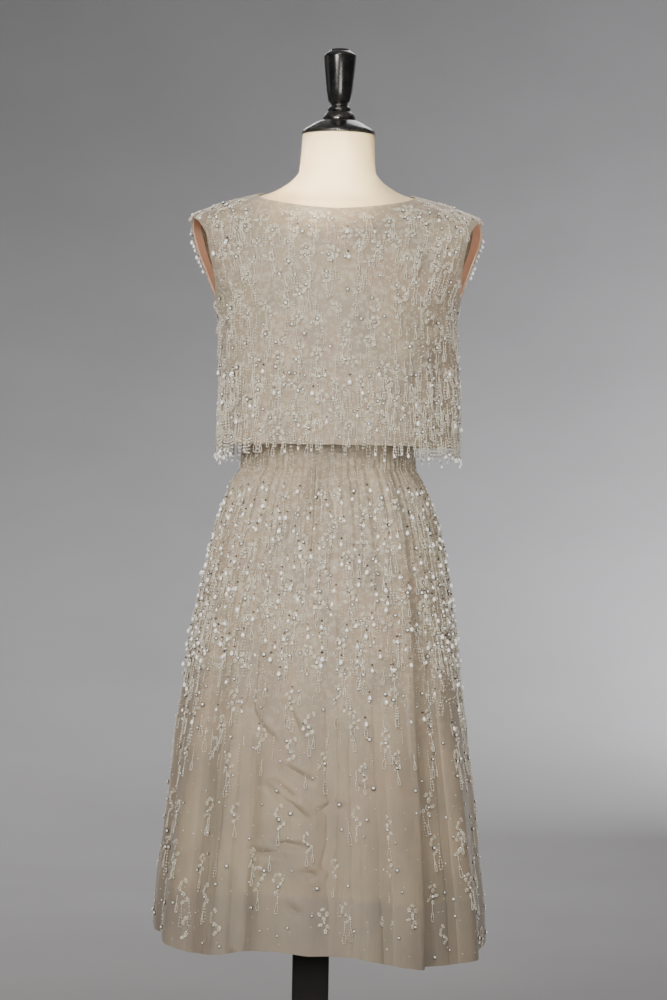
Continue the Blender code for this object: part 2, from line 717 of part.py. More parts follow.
def turn(name, profile, sides, centre_x, finish):
    """A turned solid from its profile, which starts and ends on the axis."""
    points = [np.array([centre_x, 0.0, profile[0][1]])]
    faces = []
    rings = profile[1:-1]
    for radius, height in rings:
        for k in range(sides):
            bearing = 2 * math.pi * k / sides
            points.append(np.array([centre_x + radius * math.cos(bearing), radius * math.sin(bearing), height]))
    points.append(np.array([centre_x, 0.0, profile[-1][1]]))
    top = len(points) - 1
    for k in range(sides):
        following = (k + 1) % sides
        faces.append([0, 1 + following, 1 + k])
        for r in range(len(rings) - 1):
            a, b = 1 + r * sides + k, 1 + r * sides + following
            faces.append([a, b, b + sides, a + sides])
        low = 1 + (len(rings) - 1) * sides
        faces.append([low + k, low + following, top])
    make_object(name, points, faces, finish, 35.0)


def build_post():
    half = POST_WIDE / 2
    low, high = FOOT_THICK + GAP, FORM_BASE_Z - GAP
    points = [np.array([x, y, z]) for z in (low, high) for x, y in
              ((-half, -half), (half, -half), (half, half), (-half, half))]
    faces = [[3, 2, 1, 0], [4, 5, 6, 7]] + [[k, (k + 1) % 4, (k + 1) % 4 + 4, k + 4] for k in range(4)]
    item = make_object("post", points, faces, "stand_black")
    edge = item.modifiers.new("edges", "BEVEL")
    edge.width = POST_EDGE
    edge.segments = 1


def build_foot():
    inset = FOOT_RADIUS - FOOT_EDGE
    profile = [(0.0, 0.0), (inset, 0.0), (FOOT_RADIUS, FOOT_EDGE), (FOOT_RADIUS, FOOT_THICK - FOOT_EDGE),
               (inset, FOOT_THICK), (0.0, FOOT_THICK)]
    turn("foot", profile, 2 * TURNED_SIDES, 0.0, "stand_black")


def build():
    clear_scene()
    front = build_bodice_front()
    backs = {left: build_bodice_back(left) for left in (False, True)}
    for left in (False, True):
        build_facing(left)
    build_fringe("fringe_front", front, range(2 * BODICE_COLUMNS + 1), FRINGE_FRONT)
    build_fringe("fringe_back_right", backs[False], range(BODICE_COLUMNS + 1, 0, -1), FRINGE_BACK)
    build_fringe("fringe_back_left", backs[True], range(0, BODICE_COLUMNS + 2), FRINGE_BACK)
    build_waistband()
    build_skirt()
    loft("form_torso", FORM, FORM_COLUMNS, "form_jersey")
    turn("neck_cap", NECK_CAP, TURNED_SIDES, axis_x(NECK_CAP[0][1]), "turned_black")
    turn("neck_handle", NECK_HANDLE, TURNED_SIDES, axis_x(NECK_HANDLE[0][1]), "turned_black")
    build_post()
    build_foot()


build()
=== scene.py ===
"""A beaded sleeveless cocktail dress of the 1960s on its dress form: its cloth, beadwork and finishes.

Units are metres, +Z is up and the dress faces -Y. Left and right are the viewer's. An angle round the body is
0 at centre front and 90 at the right side seam.
"""
import math

import bmesh
import bpy
import numpy as np
from mathutils import Matrix


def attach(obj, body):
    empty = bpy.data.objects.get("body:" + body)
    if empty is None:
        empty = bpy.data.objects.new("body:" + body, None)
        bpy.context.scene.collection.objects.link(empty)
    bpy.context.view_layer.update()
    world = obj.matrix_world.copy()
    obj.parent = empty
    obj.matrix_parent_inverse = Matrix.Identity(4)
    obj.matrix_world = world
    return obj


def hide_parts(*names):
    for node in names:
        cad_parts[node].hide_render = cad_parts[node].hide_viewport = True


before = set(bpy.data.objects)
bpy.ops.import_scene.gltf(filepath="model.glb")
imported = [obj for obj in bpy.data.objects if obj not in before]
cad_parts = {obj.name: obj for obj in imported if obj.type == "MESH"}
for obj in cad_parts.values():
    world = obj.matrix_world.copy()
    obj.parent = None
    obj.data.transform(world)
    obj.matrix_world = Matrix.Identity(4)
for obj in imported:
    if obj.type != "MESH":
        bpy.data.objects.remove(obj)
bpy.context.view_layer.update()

# Room between two pieces at a seam
GAP = 0.0003
# Thickness of every cloth wall
CLOTH = 0.0015
FORM_X = 0.0117
LEAN = 0.0135
LEAN_Z = 1.0
SQUARENESS = 0.93

# Heights above the ground
HEM_Z = 0.378
WAIST_SEAM_Z = 1.019
BAND_TOP_Z = 1.059
OVERBODICE_HEM_Z = 1.050
UNDERARM_Z = 1.246
SHOULDER_TIP_Z = 1.361
YOKE_START_Z = 1.325
NECK_FRONT_Z = 1.3706
NECK_SIDE_Z = 1.3965
NECK_CURVE = 1.4

# Armholes and facings
ARMHOLE_FRONT = 0.057
ARMHOLE_BACK = 0.026
ARMHOLE_SQUARE = 2.8
FACING_WIDE = 0.018
FACING_RISE = 0.0095
FACING_THICK = 0.0010
LAP_WIDE = 0.012

# Overbodice sections: height, half width, depth to the front, depth to the back, sideways shift
BODICE = [
    (1.050, 0.1650, 0.126, 0.112, 0.011),
    (1.095, 0.1645, 0.129, 0.110, 0.010),
    (1.150, 0.1640, 0.133, 0.107, 0.008),
    (1.205, 0.1640, 0.134, 0.107, 0.007),
    (1.246, 0.1695, 0.130, 0.108, 0.006),
    (1.266, 0.1785, 0.126, 0.108, 0.005),
    (1.290, 0.1885, 0.119, 0.107, 0.004),
    (1.310, 0.1965, 0.112, 0.105, 0.003),
    (1.328, 0.2030, 0.104, 0.101, 0.003),
    (1.345, 0.2055, 0.095, 0.096, 0.002),
    (1.361, 0.2000, 0.085, 0.088, 0.001),
    (1.373, 0.1760, 0.0775, 0.0795, 0.000),
    (1.3838, 0.1500, 0.0675, 0.0695, 0.000),
    (1.3905, 0.1280, 0.0600, 0.0620, 0.000),
    (1.397, 0.0990, 0.0570, 0.0580, 0.000),
]
ROWS_LOW = 44
ROWS_FACING = 5
ROWS_ARM = 34
ROWS_YOKE = 14
PANEL_COLUMNS = 52
EDGE_COLUMNS = 6
LINING_STEP = 3

# Skirt sections: height, half width, depth to the front, depth to the back, sideways shift
SKIRT = [
    (0.3780, 0.2290, 0.205, 0.200, 0.0080),
    (0.4460, 0.2240, 0.192, 0.190, 0.0068),
    (0.5120, 0.2165, 0.180, 0.180, 0.0055),
    (0.5785, 0.2090, 0.168, 0.170, 0.0042),
    (0.6450, 0.2010, 0.158, 0.161, 0.0020),
    (0.7110, 0.1920, 0.149, 0.153, 0.0010),
    (0.7780, 0.1835, 0.140, 0.144, 0.0010),
    (0.8440, 0.1730, 0.132, 0.136, 0.0010),
    (0.9100, 0.1590, 0.123, 0.126, 0.0020),
    (0.9430, 0.1505, 0.117, 0.120, 0.0020),
    (0.9765, 0.1390, 0.110, 0.112, 0.0010),
    (1.0000, 0.1290, 0.102, 0.103, 0.0000),
    (1.0190, 0.1190, 0.0937, 0.0947, 0.0000),
]
SKIRT_ROWS = 132
CREASED_ROWS = 96
CREASED_TOP_Z = 0.74
FRONT_STEP = 0.75
BACK_STEP = 0.8

# Dress form sections: height, half width, depth to the front, depth to the back
FORM = [
    (0.735, 0.128, 0.090, 0.096),
    (0.742, 0.138, 0.098, 0.106),
    (0.775, 0.148, 0.103, 0.114),
    (0.830, 0.153, 0.107, 0.118),
    (0.890, 0.149, 0.105, 0.115),
    (0.945, 0.136, 0.099, 0.106),
    (0.988, 0.1225, 0.0925, 0.0950),
    (1.0185, 0.1170, 0.0915, 0.0925),
    (1.0595, 0.1170, 0.0915, 0.0925),
    (1.100, 0.121, 0.099, 0.095),
    (1.150, 0.129, 0.114, 0.098),
    (1.200, 0.138, 0.124, 0.100),
    (1.240, 0.144, 0.121, 0.101),
    (1.280, 0.150, 0.110, 0.100),
    (1.315, 0.158, 0.096, 0.095),
    (1.340, 0.1640, 0.086, 0.088),
    (1.358, 0.1690, 0.078, 0.080),
    (1.3680, 0.1680, 0.074, 0.076),
    (1.3745, 0.1610, 0.070, 0.072),
    (1.3810, 0.1485, 0.0655, 0.0675),
    (1.3878, 0.1265, 0.0580, 0.0595),
    (1.3943, 0.0985, 0.0540, 0.0550),
    (1.3995, 0.0850, 0.0530, 0.0535),
    (1.4060, 0.0740, 0.0520, 0.0525),
    (1.4140, 0.0630, 0.0515, 0.0515),
    (1.4280, 0.0527, 0.0510, 0.0510),
    (1.4780, 0.0496, 0.0496, 0.0496),
]
BAND_OFF_FORM = 0.0004

# Skirt folds: angle at the waist, angle at the hem, half breadth in degrees, height at the hem (+ out, - in),
# height above the ground at which the fold has faded out
FOLDS = [
    (3.0, 2.0, 3.0, -0.0040, 1.010),
    (14.0, 15.0, 6.0, 0.0050, 0.800),
    (-9.0, -10.0, 6.0, 0.0040, 0.760),
    (-22.0, -26.5, 4.0, -0.0120, 0.900),
    (-33.0, -36.0, 5.5, 0.0070, 0.900),
    (-44.0, -47.0, 5.0, -0.0060, 0.860),
    (-55.0, -59.0, 5.0, 0.0090, 0.880),
    (-72.0, -75.0, 6.0, -0.0070, 0.840),
    (60.0, 63.0, 6.0, 0.0080, 0.880),
    (75.0, 77.0, 6.0, -0.0060, 0.820),
    (100.0, 102.0, 6.0, 0.0070, 0.850),
    (116.0, 119.0, 6.0, -0.0100, 0.880),
    (133.0, 136.0, 6.0, 0.0080, 0.860),
    (150.0, 153.0, 6.0, -0.0080, 0.900),
    (165.0, 166.0, 6.0, 0.0060, 0.820),
    (-100.0, -101.0, 6.0, 0.0060, 0.840),
    (-118.0, -120.0, 6.0, -0.0090, 0.900),
    (-135.0, -137.0, 6.0, 0.0080, 0.860),
    (-152.0, -154.0, 6.0, -0.0080, 0.880),
    (-166.0, -167.0, 6.0, 0.0060, 0.820),
]

# Short creases pressed into the cloth: whether at the back, start and end as x and height, breadth, depth
CREASES = [
    (False, -0.0363, 0.6187, -0.0003, 0.6022, 0.0046, 0.0044),
    (False, -0.0623, 0.5958, -0.0435, 0.5803, 0.0046, 0.0040),
    (False, -0.0435, 0.5803, -0.0060, 0.5532, 0.0050, 0.0052),
    (False, -0.0531, 0.6012, -0.0210, 0.5780, 0.0040, 0.0044),
    (False, -0.0805, 0.5083, -0.0422, 0.5076, 0.0046, 0.0040),
    (False, -0.0517, 0.5194, -0.0094, 0.5189, 0.0042, 0.0038),
    (False, -0.0378, 0.7018, -0.0159, 0.6613, 0.0045, 0.0036),
    (False, -0.0649, 0.6697, -0.0514, 0.6540, 0.0045, 0.0034),
    (False, 0.0109, 0.5655, 0.0385, 0.5713, 0.0046, 0.0034),
    (False, 0.0539, 0.5953, 0.0778, 0.5904, 0.0045, 0.0028),
    (False, -0.0870, 0.6960, -0.0620, 0.6500, 0.0060, 0.0036),
    (False, -0.0100, 0.4850, 0.0080, 0.4800, 0.0046, 0.0034),
    (False, -0.0300, 0.4400, -0.0150, 0.4300, 0.0060, 0.0030),
    (False, -0.0720, 0.4700, -0.0500, 0.4950, 0.0050, 0.0028),
    (False, 0.0274, 0.5261, 0.0162, 0.4929, 0.0050, 0.0036),
    (False, -0.1500, 1.2290, -0.1270, 1.2060, 0.0055, 0.0046),
    (False, -0.1520, 1.2020, -0.1340, 1.1840, 0.0070, 0.0026),
    (False, -0.1440, 1.1700, -0.1380, 1.1050, 0.0120, 0.0036),
    (False, -0.1180, 1.1350, -0.1220, 1.0750, 0.0090, 0.0022),
    (False, 0.1640, 1.1900, 0.1600, 1.1050, 0.0110, 0.0038),
    (False, 0.1300, 1.1500, 0.1330, 1.0800, 0.0090, 0.0024),
    (False, 0.1640, 1.2180, 0.1420, 1.2060, 0.0060, 0.0026),
    (False, -0.1280, 1.3050, -0.1200, 1.2550, 0.0100, 0.0022),
    (False, 0.1400, 1.3050, 0.1320, 1.2600, 0.0100, 0.0020),
    (True, -0.1300, 1.2200, -0.1000, 1.2020, 0.0060, 0.0030),
    (True, 0.1450, 1.2150, 0.1180, 1.2000, 0.0060, 0.0030),
    (True, -0.1150, 1.1600, -0.1100, 1.0900, 0.0110, 0.0030),
    (True, 0.1320, 1.1600, 0.1280, 1.0850, 0.0110, 0.0032),
    (True, 0.0420, 0.6250, 0.0100, 0.6080, 0.0050, 0.0024),
    (True, 0.0620, 0.5950, 0.0260, 0.5700, 0.0050, 0.0026),
    (True, -0.0300, 0.5400, -0.0650, 0.5350, 0.0050, 0.0020),
    (True, -0.0550, 0.6600, -0.0350, 0.6300, 0.0045, 0.0020),
    (True, -0.1200, 0.5800, -0.0950, 0.5600, 0.0050, 0.0022),
    (True, 0.1250, 0.5200, 0.0950, 0.5050, 0.0050, 0.0020),
]
# The low ridge along a crease's upper side: its share of the crease's depth and its distance in breadths
CREASE_RIDGE = 0.7
CREASE_RIDGE_AWAY = 1.9

# The deep pleat on the right
PLEAT_ANGLE_WAIST = 39.5
PLEAT_ANGLE_HEM = 33.6
PLEAT_RISE_WAIST = 0.0070
PLEAT_RISE_HEM = 0.0230
PLEAT_LAP_WAIST = 0.010
PLEAT_LAP_HEM = 0.022
PLEAT_SINK_HEM = 0.0130
PLEAT_LEAD = 32.0
PLEAT_BEFORE = 6.0
PLEAT_AFTER = 5.0
PLEAT_FINE = 3
# How many degrees a groove turns outward at the sides for a metre down
GROOVE_FLARE = 6.0
# Narrow grooves between gathers: angle, half breadth in degrees, depth, height of its top and of its foot
GROOVES = [
    (3.2, 1.2, 0.0060, 1.012, 0.300),
    (-27.2, 1.2, 0.0120, 0.820, 0.100),
    (-36.0, 1.6, 0.0046, 0.700, 0.100),
    (-47.0, 1.6, 0.0060, 0.760, 0.100),
    (10.5, 1.7, 0.0044, 0.680, 0.100),
    (20.0, 1.6, 0.0044, 0.740, 0.200),
    (39.6, 1.0, 0.0040, 0.950, 0.560),
    (50.0, 1.6, 0.0060, 0.780, 0.100),
    (-38.5, 1.2, 0.0030, 0.880, 0.700),
    (-20.0, 1.2, 0.0022, 1.000, 0.880),
    (-52.0, 1.3, 0.0026, 0.990, 0.820),
    (24.0, 1.2, 0.0024, 0.990, 0.850),
    (63.0, 1.4, 0.0034, 1.000, 0.800),
    (100.0, 1.4, 0.0030, 0.990, 0.780),
    (139.0, 1.3, 0.0030, 1.005, 0.800),
    (-104.0, 1.4, 0.0032, 1.000, 0.790),
    (-141.0, 1.3, 0.0028, 0.980, 0.770),
]
# Way through the pleat: share of the lap, share of the rise sideways, share of the rise outward
PLEAT_PATH = [
    (0.55, 0.00, 1.00), (0.15, 0.00, 1.00), (0.00, 0.14, 0.93), (0.00, 0.27, 0.70), (0.00, 0.14, 0.46),
    (0.15, 0.00, 0.39), (0.85, 0.00, 0.35), (1.00, -0.14, 0.27), (1.00, -0.18, 0.18), (1.00, -0.12, 0.07),
    (0.85, 0.00, 0.00), (0.30, 0.00, 0.00), (-0.30, 0.00, 0.00),
]

# How far the hem drops below its level, by angle
HEM_DROP = [
    (-180, 0.0), (-110, -0.003), (-90, -0.005), (-65, -0.004), (-50, 0.009), (-33, 0.004), (-20, -0.005),
    (-12, -0.006), (-3, -0.001), (10, 0.000), (17, 0.006), (26, 0.014), (34, 0.019), (53, 0.020),
    (63, 0.018), (75, 0.013), (95, 0.008), (130, 0.003), (180, 0.0),
]
TURN_UP = 0.077
TURN_UP_EASE = 0.003
TURN_UP_THICK = 0.0005

GATHERS_FRONT = 40
GATHERS_BACK = 38
GATHER_HIGH = 0.0046
GATHER_AT_SEAM = 0.55
GATHER_SHORT_Z = 0.915
GATHER_LONG_Z = 0.750

# Turned profiles: radius, height
NECK_CAP = [(0.0, 1.4783), (0.0490, 1.4783), (0.0507, 1.4788), (0.0512, 1.4800), (0.0508, 1.4818),
            (0.0500, 1.4835), (0.0467, 1.4865), (0.0430, 1.4890), (0.0385, 1.4919), (0.0340, 1.4945),
            (0.0292, 1.4970), (0.0245, 1.4985), (0.0, 1.4985)]
NECK_HANDLE = [(0.0, 1.4988), (0.0218, 1.4988), (0.0225, 1.4995), (0.0225, 1.5020), (0.0218, 1.5040),
               (0.0205, 1.5060), (0.0192, 1.5080), (0.0180, 1.5095), (0.0160, 1.5104), (0.0150, 1.5110),
               (0.0158, 1.5122), (0.0161, 1.5135), (0.0158, 1.5150), (0.0150, 1.5165), (0.0130, 1.5180),
               (0.0116, 1.5190), (0.0115, 1.5200), (0.0122, 1.5215), (0.0140, 1.5235), (0.0156, 1.5255),
               (0.0180, 1.5400), (0.0205, 1.5640), (0.0218, 1.5780), (0.0222, 1.5865), (0.0221, 1.5885),
               (0.0200, 1.5910), (0.0165, 1.5932), (0.0140, 1.5945), (0.0133, 1.5960), (0.0127, 1.5969),
               (0.0, 1.5969)]
TURNED_SIDES = 72
FORM_SIDES = 84
FORM_FOOT_Z = FORM[0][0]
FORM_SHOULDER_Z = 1.34
FORM_TOP_Z = FORM[-1][0]

# Panels of a three-piece ring round the body: the end of its name, its first and its last angle
ROUND_PANELS = [("front", -90.0, 90.0), ("back_right", 90.0, 180.0), ("back_left", 180.0, 270.0)]
BAND_STEP = 0.6
BAND_ROWS = 10
BAND_LIFT = 0.0006
# How far up the band the gathers fade, and their share of the skirt's below and at the top
BAND_GATHERS_UP = 0.6
BAND_GATHERS_LOW = 1.15
BAND_GATHERS_TOP = 0.10

# Degrees beyond which an edge shows as hard
CLOTH_SHARP = 50
TURNED_SHARP = 38

# Small steps over which the cloth's slope is measured
SLOPE_ANGLE = 0.4
SLOPE_RISE = 0.0006


def blend(low, high, share):
    return low + (high - low) * share


def ease(share):
    share = np.clip(share, 0.0, 1.0)
    return share * share * (3.0 - 2.0 * share)


def wrap(angles):
    """Angles brought between -180 and 180 degrees."""
    return (angles + 180.0) % 360.0 - 180.0


def through_rows(table, heights):
    """The columns of a table at many heights, on smooth curves through its rows that never overshoot."""
    rows = np.array(table)
    heights = np.clip(heights, rows[0, 0], rows[-1, 0])
    chords = np.diff(rows[:, 1:], axis=0) / np.diff(rows[:, 0])[:, None]
    before, after = chords[:-1], chords[1:]
    total = before + after
    total[np.abs(total) < 1e-9] = 1.0
    inner = np.where(before * after > 0, 2 * before * after / total, 0.0)
    slopes = np.vstack([chords[:1], inner, chords[-1:]])
    index = np.clip(np.searchsorted(rows[:, 0], heights) - 1, 0, len(rows) - 2)
    span = (rows[index + 1, 0] - rows[index, 0])[..., None]
    share = (heights - rows[index, 0])[..., None] / span
    square, cube = share ** 2, share ** 3
    values = ((2 * cube - 3 * square + 1) * rows[index, 1:] + (3 * square - 2 * cube) * rows[index + 1, 1:]
              + (cube - 2 * square + share) * span * slopes[index]
              + (cube - square) * span * slopes[index + 1])
    return np.moveaxis(values, -1, 0)


def axis_x(height):
    """The form leans a little to the right of its post."""
    return FORM_X + LEAN * (height - LEAN_Z)


def ring(table, heights, angles):
    """Points of level sections, ovals a little squarer than an ellipse."""
    heights, angles = np.broadcast_arrays(np.asarray(heights, float), np.asarray(angles, float))
    width, front, back, *shift = through_rows(table, heights)
    side, ahead = np.sin(np.radians(angles)), np.cos(np.radians(angles))
    across = np.sign(side) * np.abs(side) ** SQUARENESS * width
    along = np.sign(ahead) * np.abs(ahead) ** SQUARENESS * np.where(ahead > 0, front, back)
    return np.stack([axis_x(heights) + across + sum(shift), -along, heights], axis=-1)


def outward(angles):
    turn = np.radians(angles)
    return np.stack([np.sin(turn), -np.cos(turn), np.zeros_like(turn)], axis=-1)


def unit(vectors):
    length = np.linalg.norm(vectors, axis=-1, keepdims=True)
    return vectors / np.maximum(length, 1e-12)


def crease_depth(points):
    """How far the short creases press each point in, with a low ridge along their upper side."""
    total = np.zeros(points.shape[:-1])
    for at_back, x0, z0, x1, z1, breadth, depth in CREASES:
        start, run = np.array([x0, z0]), np.array([x1 - x0, z1 - z0])
        flat = points[..., [0, 2]] - start
        share = np.clip((flat @ run) / (run @ run), 0.0, 1.0)
        away = flat - share[..., None] * run
        distance = np.linalg.norm(away, axis=-1)
        side = (run[0] * flat[..., 1] - run[1] * flat[..., 0]) / np.linalg.norm(run)
        taper = np.sin(np.pi * np.clip(share, 0.08, 0.92)) ** 0.6
        trough = np.exp(-(distance / breadth) ** 2)
        ridge = CREASE_RIDGE * np.exp(-((distance - CREASE_RIDGE_AWAY * breadth) / breadth) ** 2)
        press = np.where(side > 0, trough - ridge, trough)
        facing = (points[..., 1] > 0) == at_back
        total += np.where(facing, depth * press * taper, 0.0)
    return total


def grid_faces(rows, columns):
    index = np.arange(rows * columns).reshape(rows, columns)
    return np.stack([index[:-1, :-1], index[:-1, 1:], index[1:, 1:], index[1:, :-1]], axis=-1).reshape(-1, 4)


def rim_faces(rows, columns, kept_rows, kept_columns, inner):
    """Faces that join the outer layer's four edges to those of a coarser inner layer."""
    outer = np.arange(rows * columns).reshape(rows, columns)
    faces = []
    for a, b in zip(kept_columns[:-1], kept_columns[1:]):
        low, high = np.searchsorted(kept_columns, a), np.searchsorted(kept_columns, b)
        faces.append([*outer[0, a:b + 1][::-1], inner[0, low], inner[0, high]])
        faces.append([*outer[-1, a:b + 1], inner[-1, high], inner[-1, low]])
    for a, b in zip(kept_rows[:-1], kept_rows[1:]):
        low, high = np.searchsorted(kept_rows, a), np.searchsorted(kept_rows, b)
        faces.append([*outer[a:b + 1, 0], inner[high, 0], inner[low, 0]])
        faces.append([*outer[a:b + 1, -1][::-1], inner[low, -1], inner[high, -1]])
    return faces


def every(step, count):
    """Each step-th number below a count, with the last one."""
    return np.unique(np.append(np.arange(0, count, step), count - 1))


def new_piece(name, points, faces):
    mesh = bpy.data.meshes.new(name)
    mesh.from_pydata([tuple(point) for point in points], [], [tuple(face) for face in faces])
    piece = bpy.data.objects.new(name, mesh)
    bpy.context.collection.objects.link(piece)
    return piece


def point_outward(piece):
    shape = bmesh.new()
    shape.from_mesh(piece.data)
    bmesh.ops.recalc_face_normals(shape, faces=shape.faces)
    shape.to_mesh(piece.data)
    shape.free()


def soften(piece, sharp):
    """Smooth shading, with a hard edge where faces meet at more than so many degrees."""
    piece.data.shade_smooth()
    piece.data.set_sharp_from_angle(angle=math.radians(sharp))


def cloth_wall(name, outer, inner, lengthwise, marks=None, kept=None):
    """A thin closed shell from two grids of points, with its cut laid out flat, in metres, as its UV map.

    The inner layer is the smooth lining, so it keeps only some of the rows and columns.
    """
    rows, columns = outer.shape[:2]
    kept_rows, kept_columns = kept if kept else (every(LINING_STEP, rows), every(LINING_STEP, columns))
    lining = inner[np.ix_(kept_rows, kept_columns)]
    one, two = grid_faces(rows, columns), grid_faces(len(kept_rows), len(kept_columns))
    inner_index = rows * columns + np.arange(lining.shape[0] * lining.shape[1]).reshape(lining.shape[:2])
    faces = [tuple(face) for face in one] + [tuple(face) for face in two[:, ::-1] + rows * columns]
    faces += rim_faces(rows, columns, kept_rows, kept_columns, inner_index)
    piece = new_piece(name, np.concatenate([outer.reshape(-1, 3), lining.reshape(-1, 3)]), faces)
    point_outward(piece)
    soften(piece, CLOTH_SHARP)
    mesh = piece.data
    corners = np.zeros(len(mesh.loops), dtype=int)
    mesh.loops.foreach_get("vertex_index", corners)
    flat = np.stack([lengthwise, outer[..., 2]], axis=-1)
    both = np.concatenate([flat.reshape(-1, 2), flat[np.ix_(kept_rows, kept_columns)].reshape(-1, 2)])
    mesh.uv_layers.new(name="cut").data.foreach_set("uv", both[corners].astype(np.float32).reshape(-1))
    for mark, values in (marks or {}).items():
        made = mesh.attributes.new(mark, "FLOAT", "POINT")
        both = np.concatenate([values.reshape(-1), values[np.ix_(kept_rows, kept_columns)].reshape(-1)])
        made.data.foreach_set("value", both.astype(np.float32))
    return piece


def along_rows(points):
    """Distance along each row of a grid from its middle column, for the flat cut."""
    steps = np.linalg.norm(np.diff(points, axis=1), axis=-1)
    reach = np.concatenate([np.zeros((points.shape[0], 1)), np.cumsum(steps, axis=1)], axis=1)
    middle = points.shape[1] // 2
    return reach - reach[:, middle:middle + 1]


def neck_top(angles):
    return NECK_FRONT_Z + (NECK_SIDE_Z - NECK_FRONT_Z) * np.abs(np.sin(np.radians(angles))) ** NECK_CURVE


def armhole_oval(heights, back, wider=0.0):
    """How far an oval round the armhole stands from the side line at each height."""
    middle = (UNDERARM_Z + SHOULDER_TIP_Z) / 2
    half = (SHOULDER_TIP_Z - UNDERARM_Z) / 2
    grown = np.where(heights > middle, wider * FACING_RISE / FACING_WIDE, wider)
    share = np.clip(np.abs(heights - middle) / (half + grown), 0.0, 1.0)
    reach = (ARMHOLE_BACK if back else ARMHOLE_FRONT) + wider
    return reach * (1 - share ** ARMHOLE_SQUARE) ** (1 / ARMHOLE_SQUARE)


def angle_at(heights, back, reach):
    """Angle from the centre at which the bodice stands a given reach from its side line."""
    depth = through_rows(BODICE, heights)[2 if back else 1]
    return np.degrees(np.arccos(np.minimum(1.0, reach / depth) ** (1 / SQUARENESS)))


def bodice_wave(heights, angles):
    """Soft waves of the hanging cloth, deepest at its free hem."""
    turn = np.radians(angles)
    deep = ease((1.24 - heights) / 0.17)
    soft = 0.0008 * np.sin(3 * turn + 9.0 * heights) * ease((1.33 - heights) / 0.10)
    return deep * (0.0022 * np.sin(5 * turn + 0.7) + 0.0016 * np.sin(9 * turn + 2.1)) + soft


def bodice_skin(angles, heights):
    return ring(BODICE, heights, angles) + outward(angles) * bodice_wave(heights, angles)[..., None]


def bodice_point(angles, heights, inward):
    across = bodice_skin(angles + SLOPE_ANGLE, heights) - bodice_skin(angles - SLOPE_ANGLE, heights)
    up = bodice_skin(angles, heights + SLOPE_RISE) - bodice_skin(angles, heights - SLOPE_RISE)
    normal = np.cross(across, up)
    normal[..., 1] = np.where(np.abs(np.abs(angles) - 90.0) < 1e-6, 0.0, normal[..., 1])
    skin = bodice_skin(angles, heights)
    normal = unit(normal)
    return skin - normal * (inward + crease_depth(skin)[..., None]), normal


def panel_heights():
    """Heights of a bodice panel's rows at its side line."""
    below = UNDERARM_Z - FACING_WIDE
    middle, half = (UNDERARM_Z + SHOULDER_TIP_Z) / 2, (SHOULDER_TIP_Z - UNDERARM_Z) / 2
    arm = middle - half * np.cos(np.pi * np.arange(ROWS_ARM + 1) / ROWS_ARM)
    return np.concatenate([
        np.linspace(OVERBODICE_HEM_Z, below, ROWS_LOW, endpoint=False),
        np.linspace(below, UNDERARM_Z, ROWS_FACING, endpoint=False),
        arm,
        np.linspace(SHOULDER_TIP_Z, SHOULDER_TIP_Z + FACING_RISE, ROWS_FACING)[1:],
        np.linspace(SHOULDER_TIP_Z + FACING_RISE, NECK_SIDE_Z, ROWS_YOKE)[1:],
    ])


def row_place(rows_z, angles):
    """Above the yoke line the rows draw together, so that the top one follows the neckline."""
    share = np.clip((rows_z - YOKE_START_Z) / (NECK_SIDE_Z - YOKE_START_Z), 0.0, 1.0)
    return np.where(rows_z <= YOKE_START_Z, rows_z, blend(YOKE_START_Z, neck_top(angles), share))


def panel_angles(rows_z, back):
    """Angles of every row's columns from the centre to the armhole's edge or the side seam."""
    edge = angle_at(rows_z, back, armhole_oval(rows_z, back))
    band = angle_at(rows_z, back, np.maximum(0.9 * FACING_WIDE, armhole_oval(rows_z, back, FACING_WIDE)))
    start = -np.degrees(LAP_WIDE / through_rows(BODICE, rows_z)[0]) if back else np.zeros_like(rows_z)
    wide = start[:, None] + (band - start)[:, None] * np.linspace(0, 1, PANEL_COLUMNS)
    narrow = band[:, None] + (edge - band)[:, None] * np.linspace(0, 1, EDGE_COLUMNS + 1)[1:]
    return np.concatenate([wide, narrow], axis=1)


def half_panel(back, left, inward):
    rows_z = panel_heights()[:, None]
    angles = panel_angles(rows_z[:, 0], back)
    heights = row_place(rows_z, angles)
    body = 180.0 - angles if back else angles
    body = -body if left else body
    if back and not left:
        depth = inward + np.where(angles < -angles[:, :1] * 1.2, CLOTH + GAP, 0.0)
        return bodice_point(body, heights, depth[..., None])[0]
    return bodice_point(body, heights, inward)[0]


def part_at_seam(points, back):
    points[:, -1, 1] += GAP / 2 if back else -GAP / 2
    return points


def part_at_ends(points):
    """Draws a panel's first and last column in by half the gap at a seam."""
    points[:, 0] += unit(points[:, 1] - points[:, 0]) * GAP / 2
    points[:, -1] += unit(points[:, -2] - points[:, -1]) * GAP / 2
    return points


def sew_bodice_front():
    layers = []
    for depth in (0.0, CLOTH):
        right = part_at_seam(half_panel(False, False, depth), False)
        left = part_at_seam(half_panel(False, True, depth), False)
        layers.append(np.concatenate([left[:, :0:-1], right], axis=1))
    return cloth_wall("bodice_front_cloth", *layers, along_rows(layers[0]))


def sew_bodice_back(left):
    layers = [part_at_seam(half_panel(True, left, depth), True) for depth in (0.0, CLOTH)]
    name = "bodice_back_left_cloth" if left else "bodice_back_right_cloth"
    return cloth_wall(name, *layers, along_rows(layers[0]))


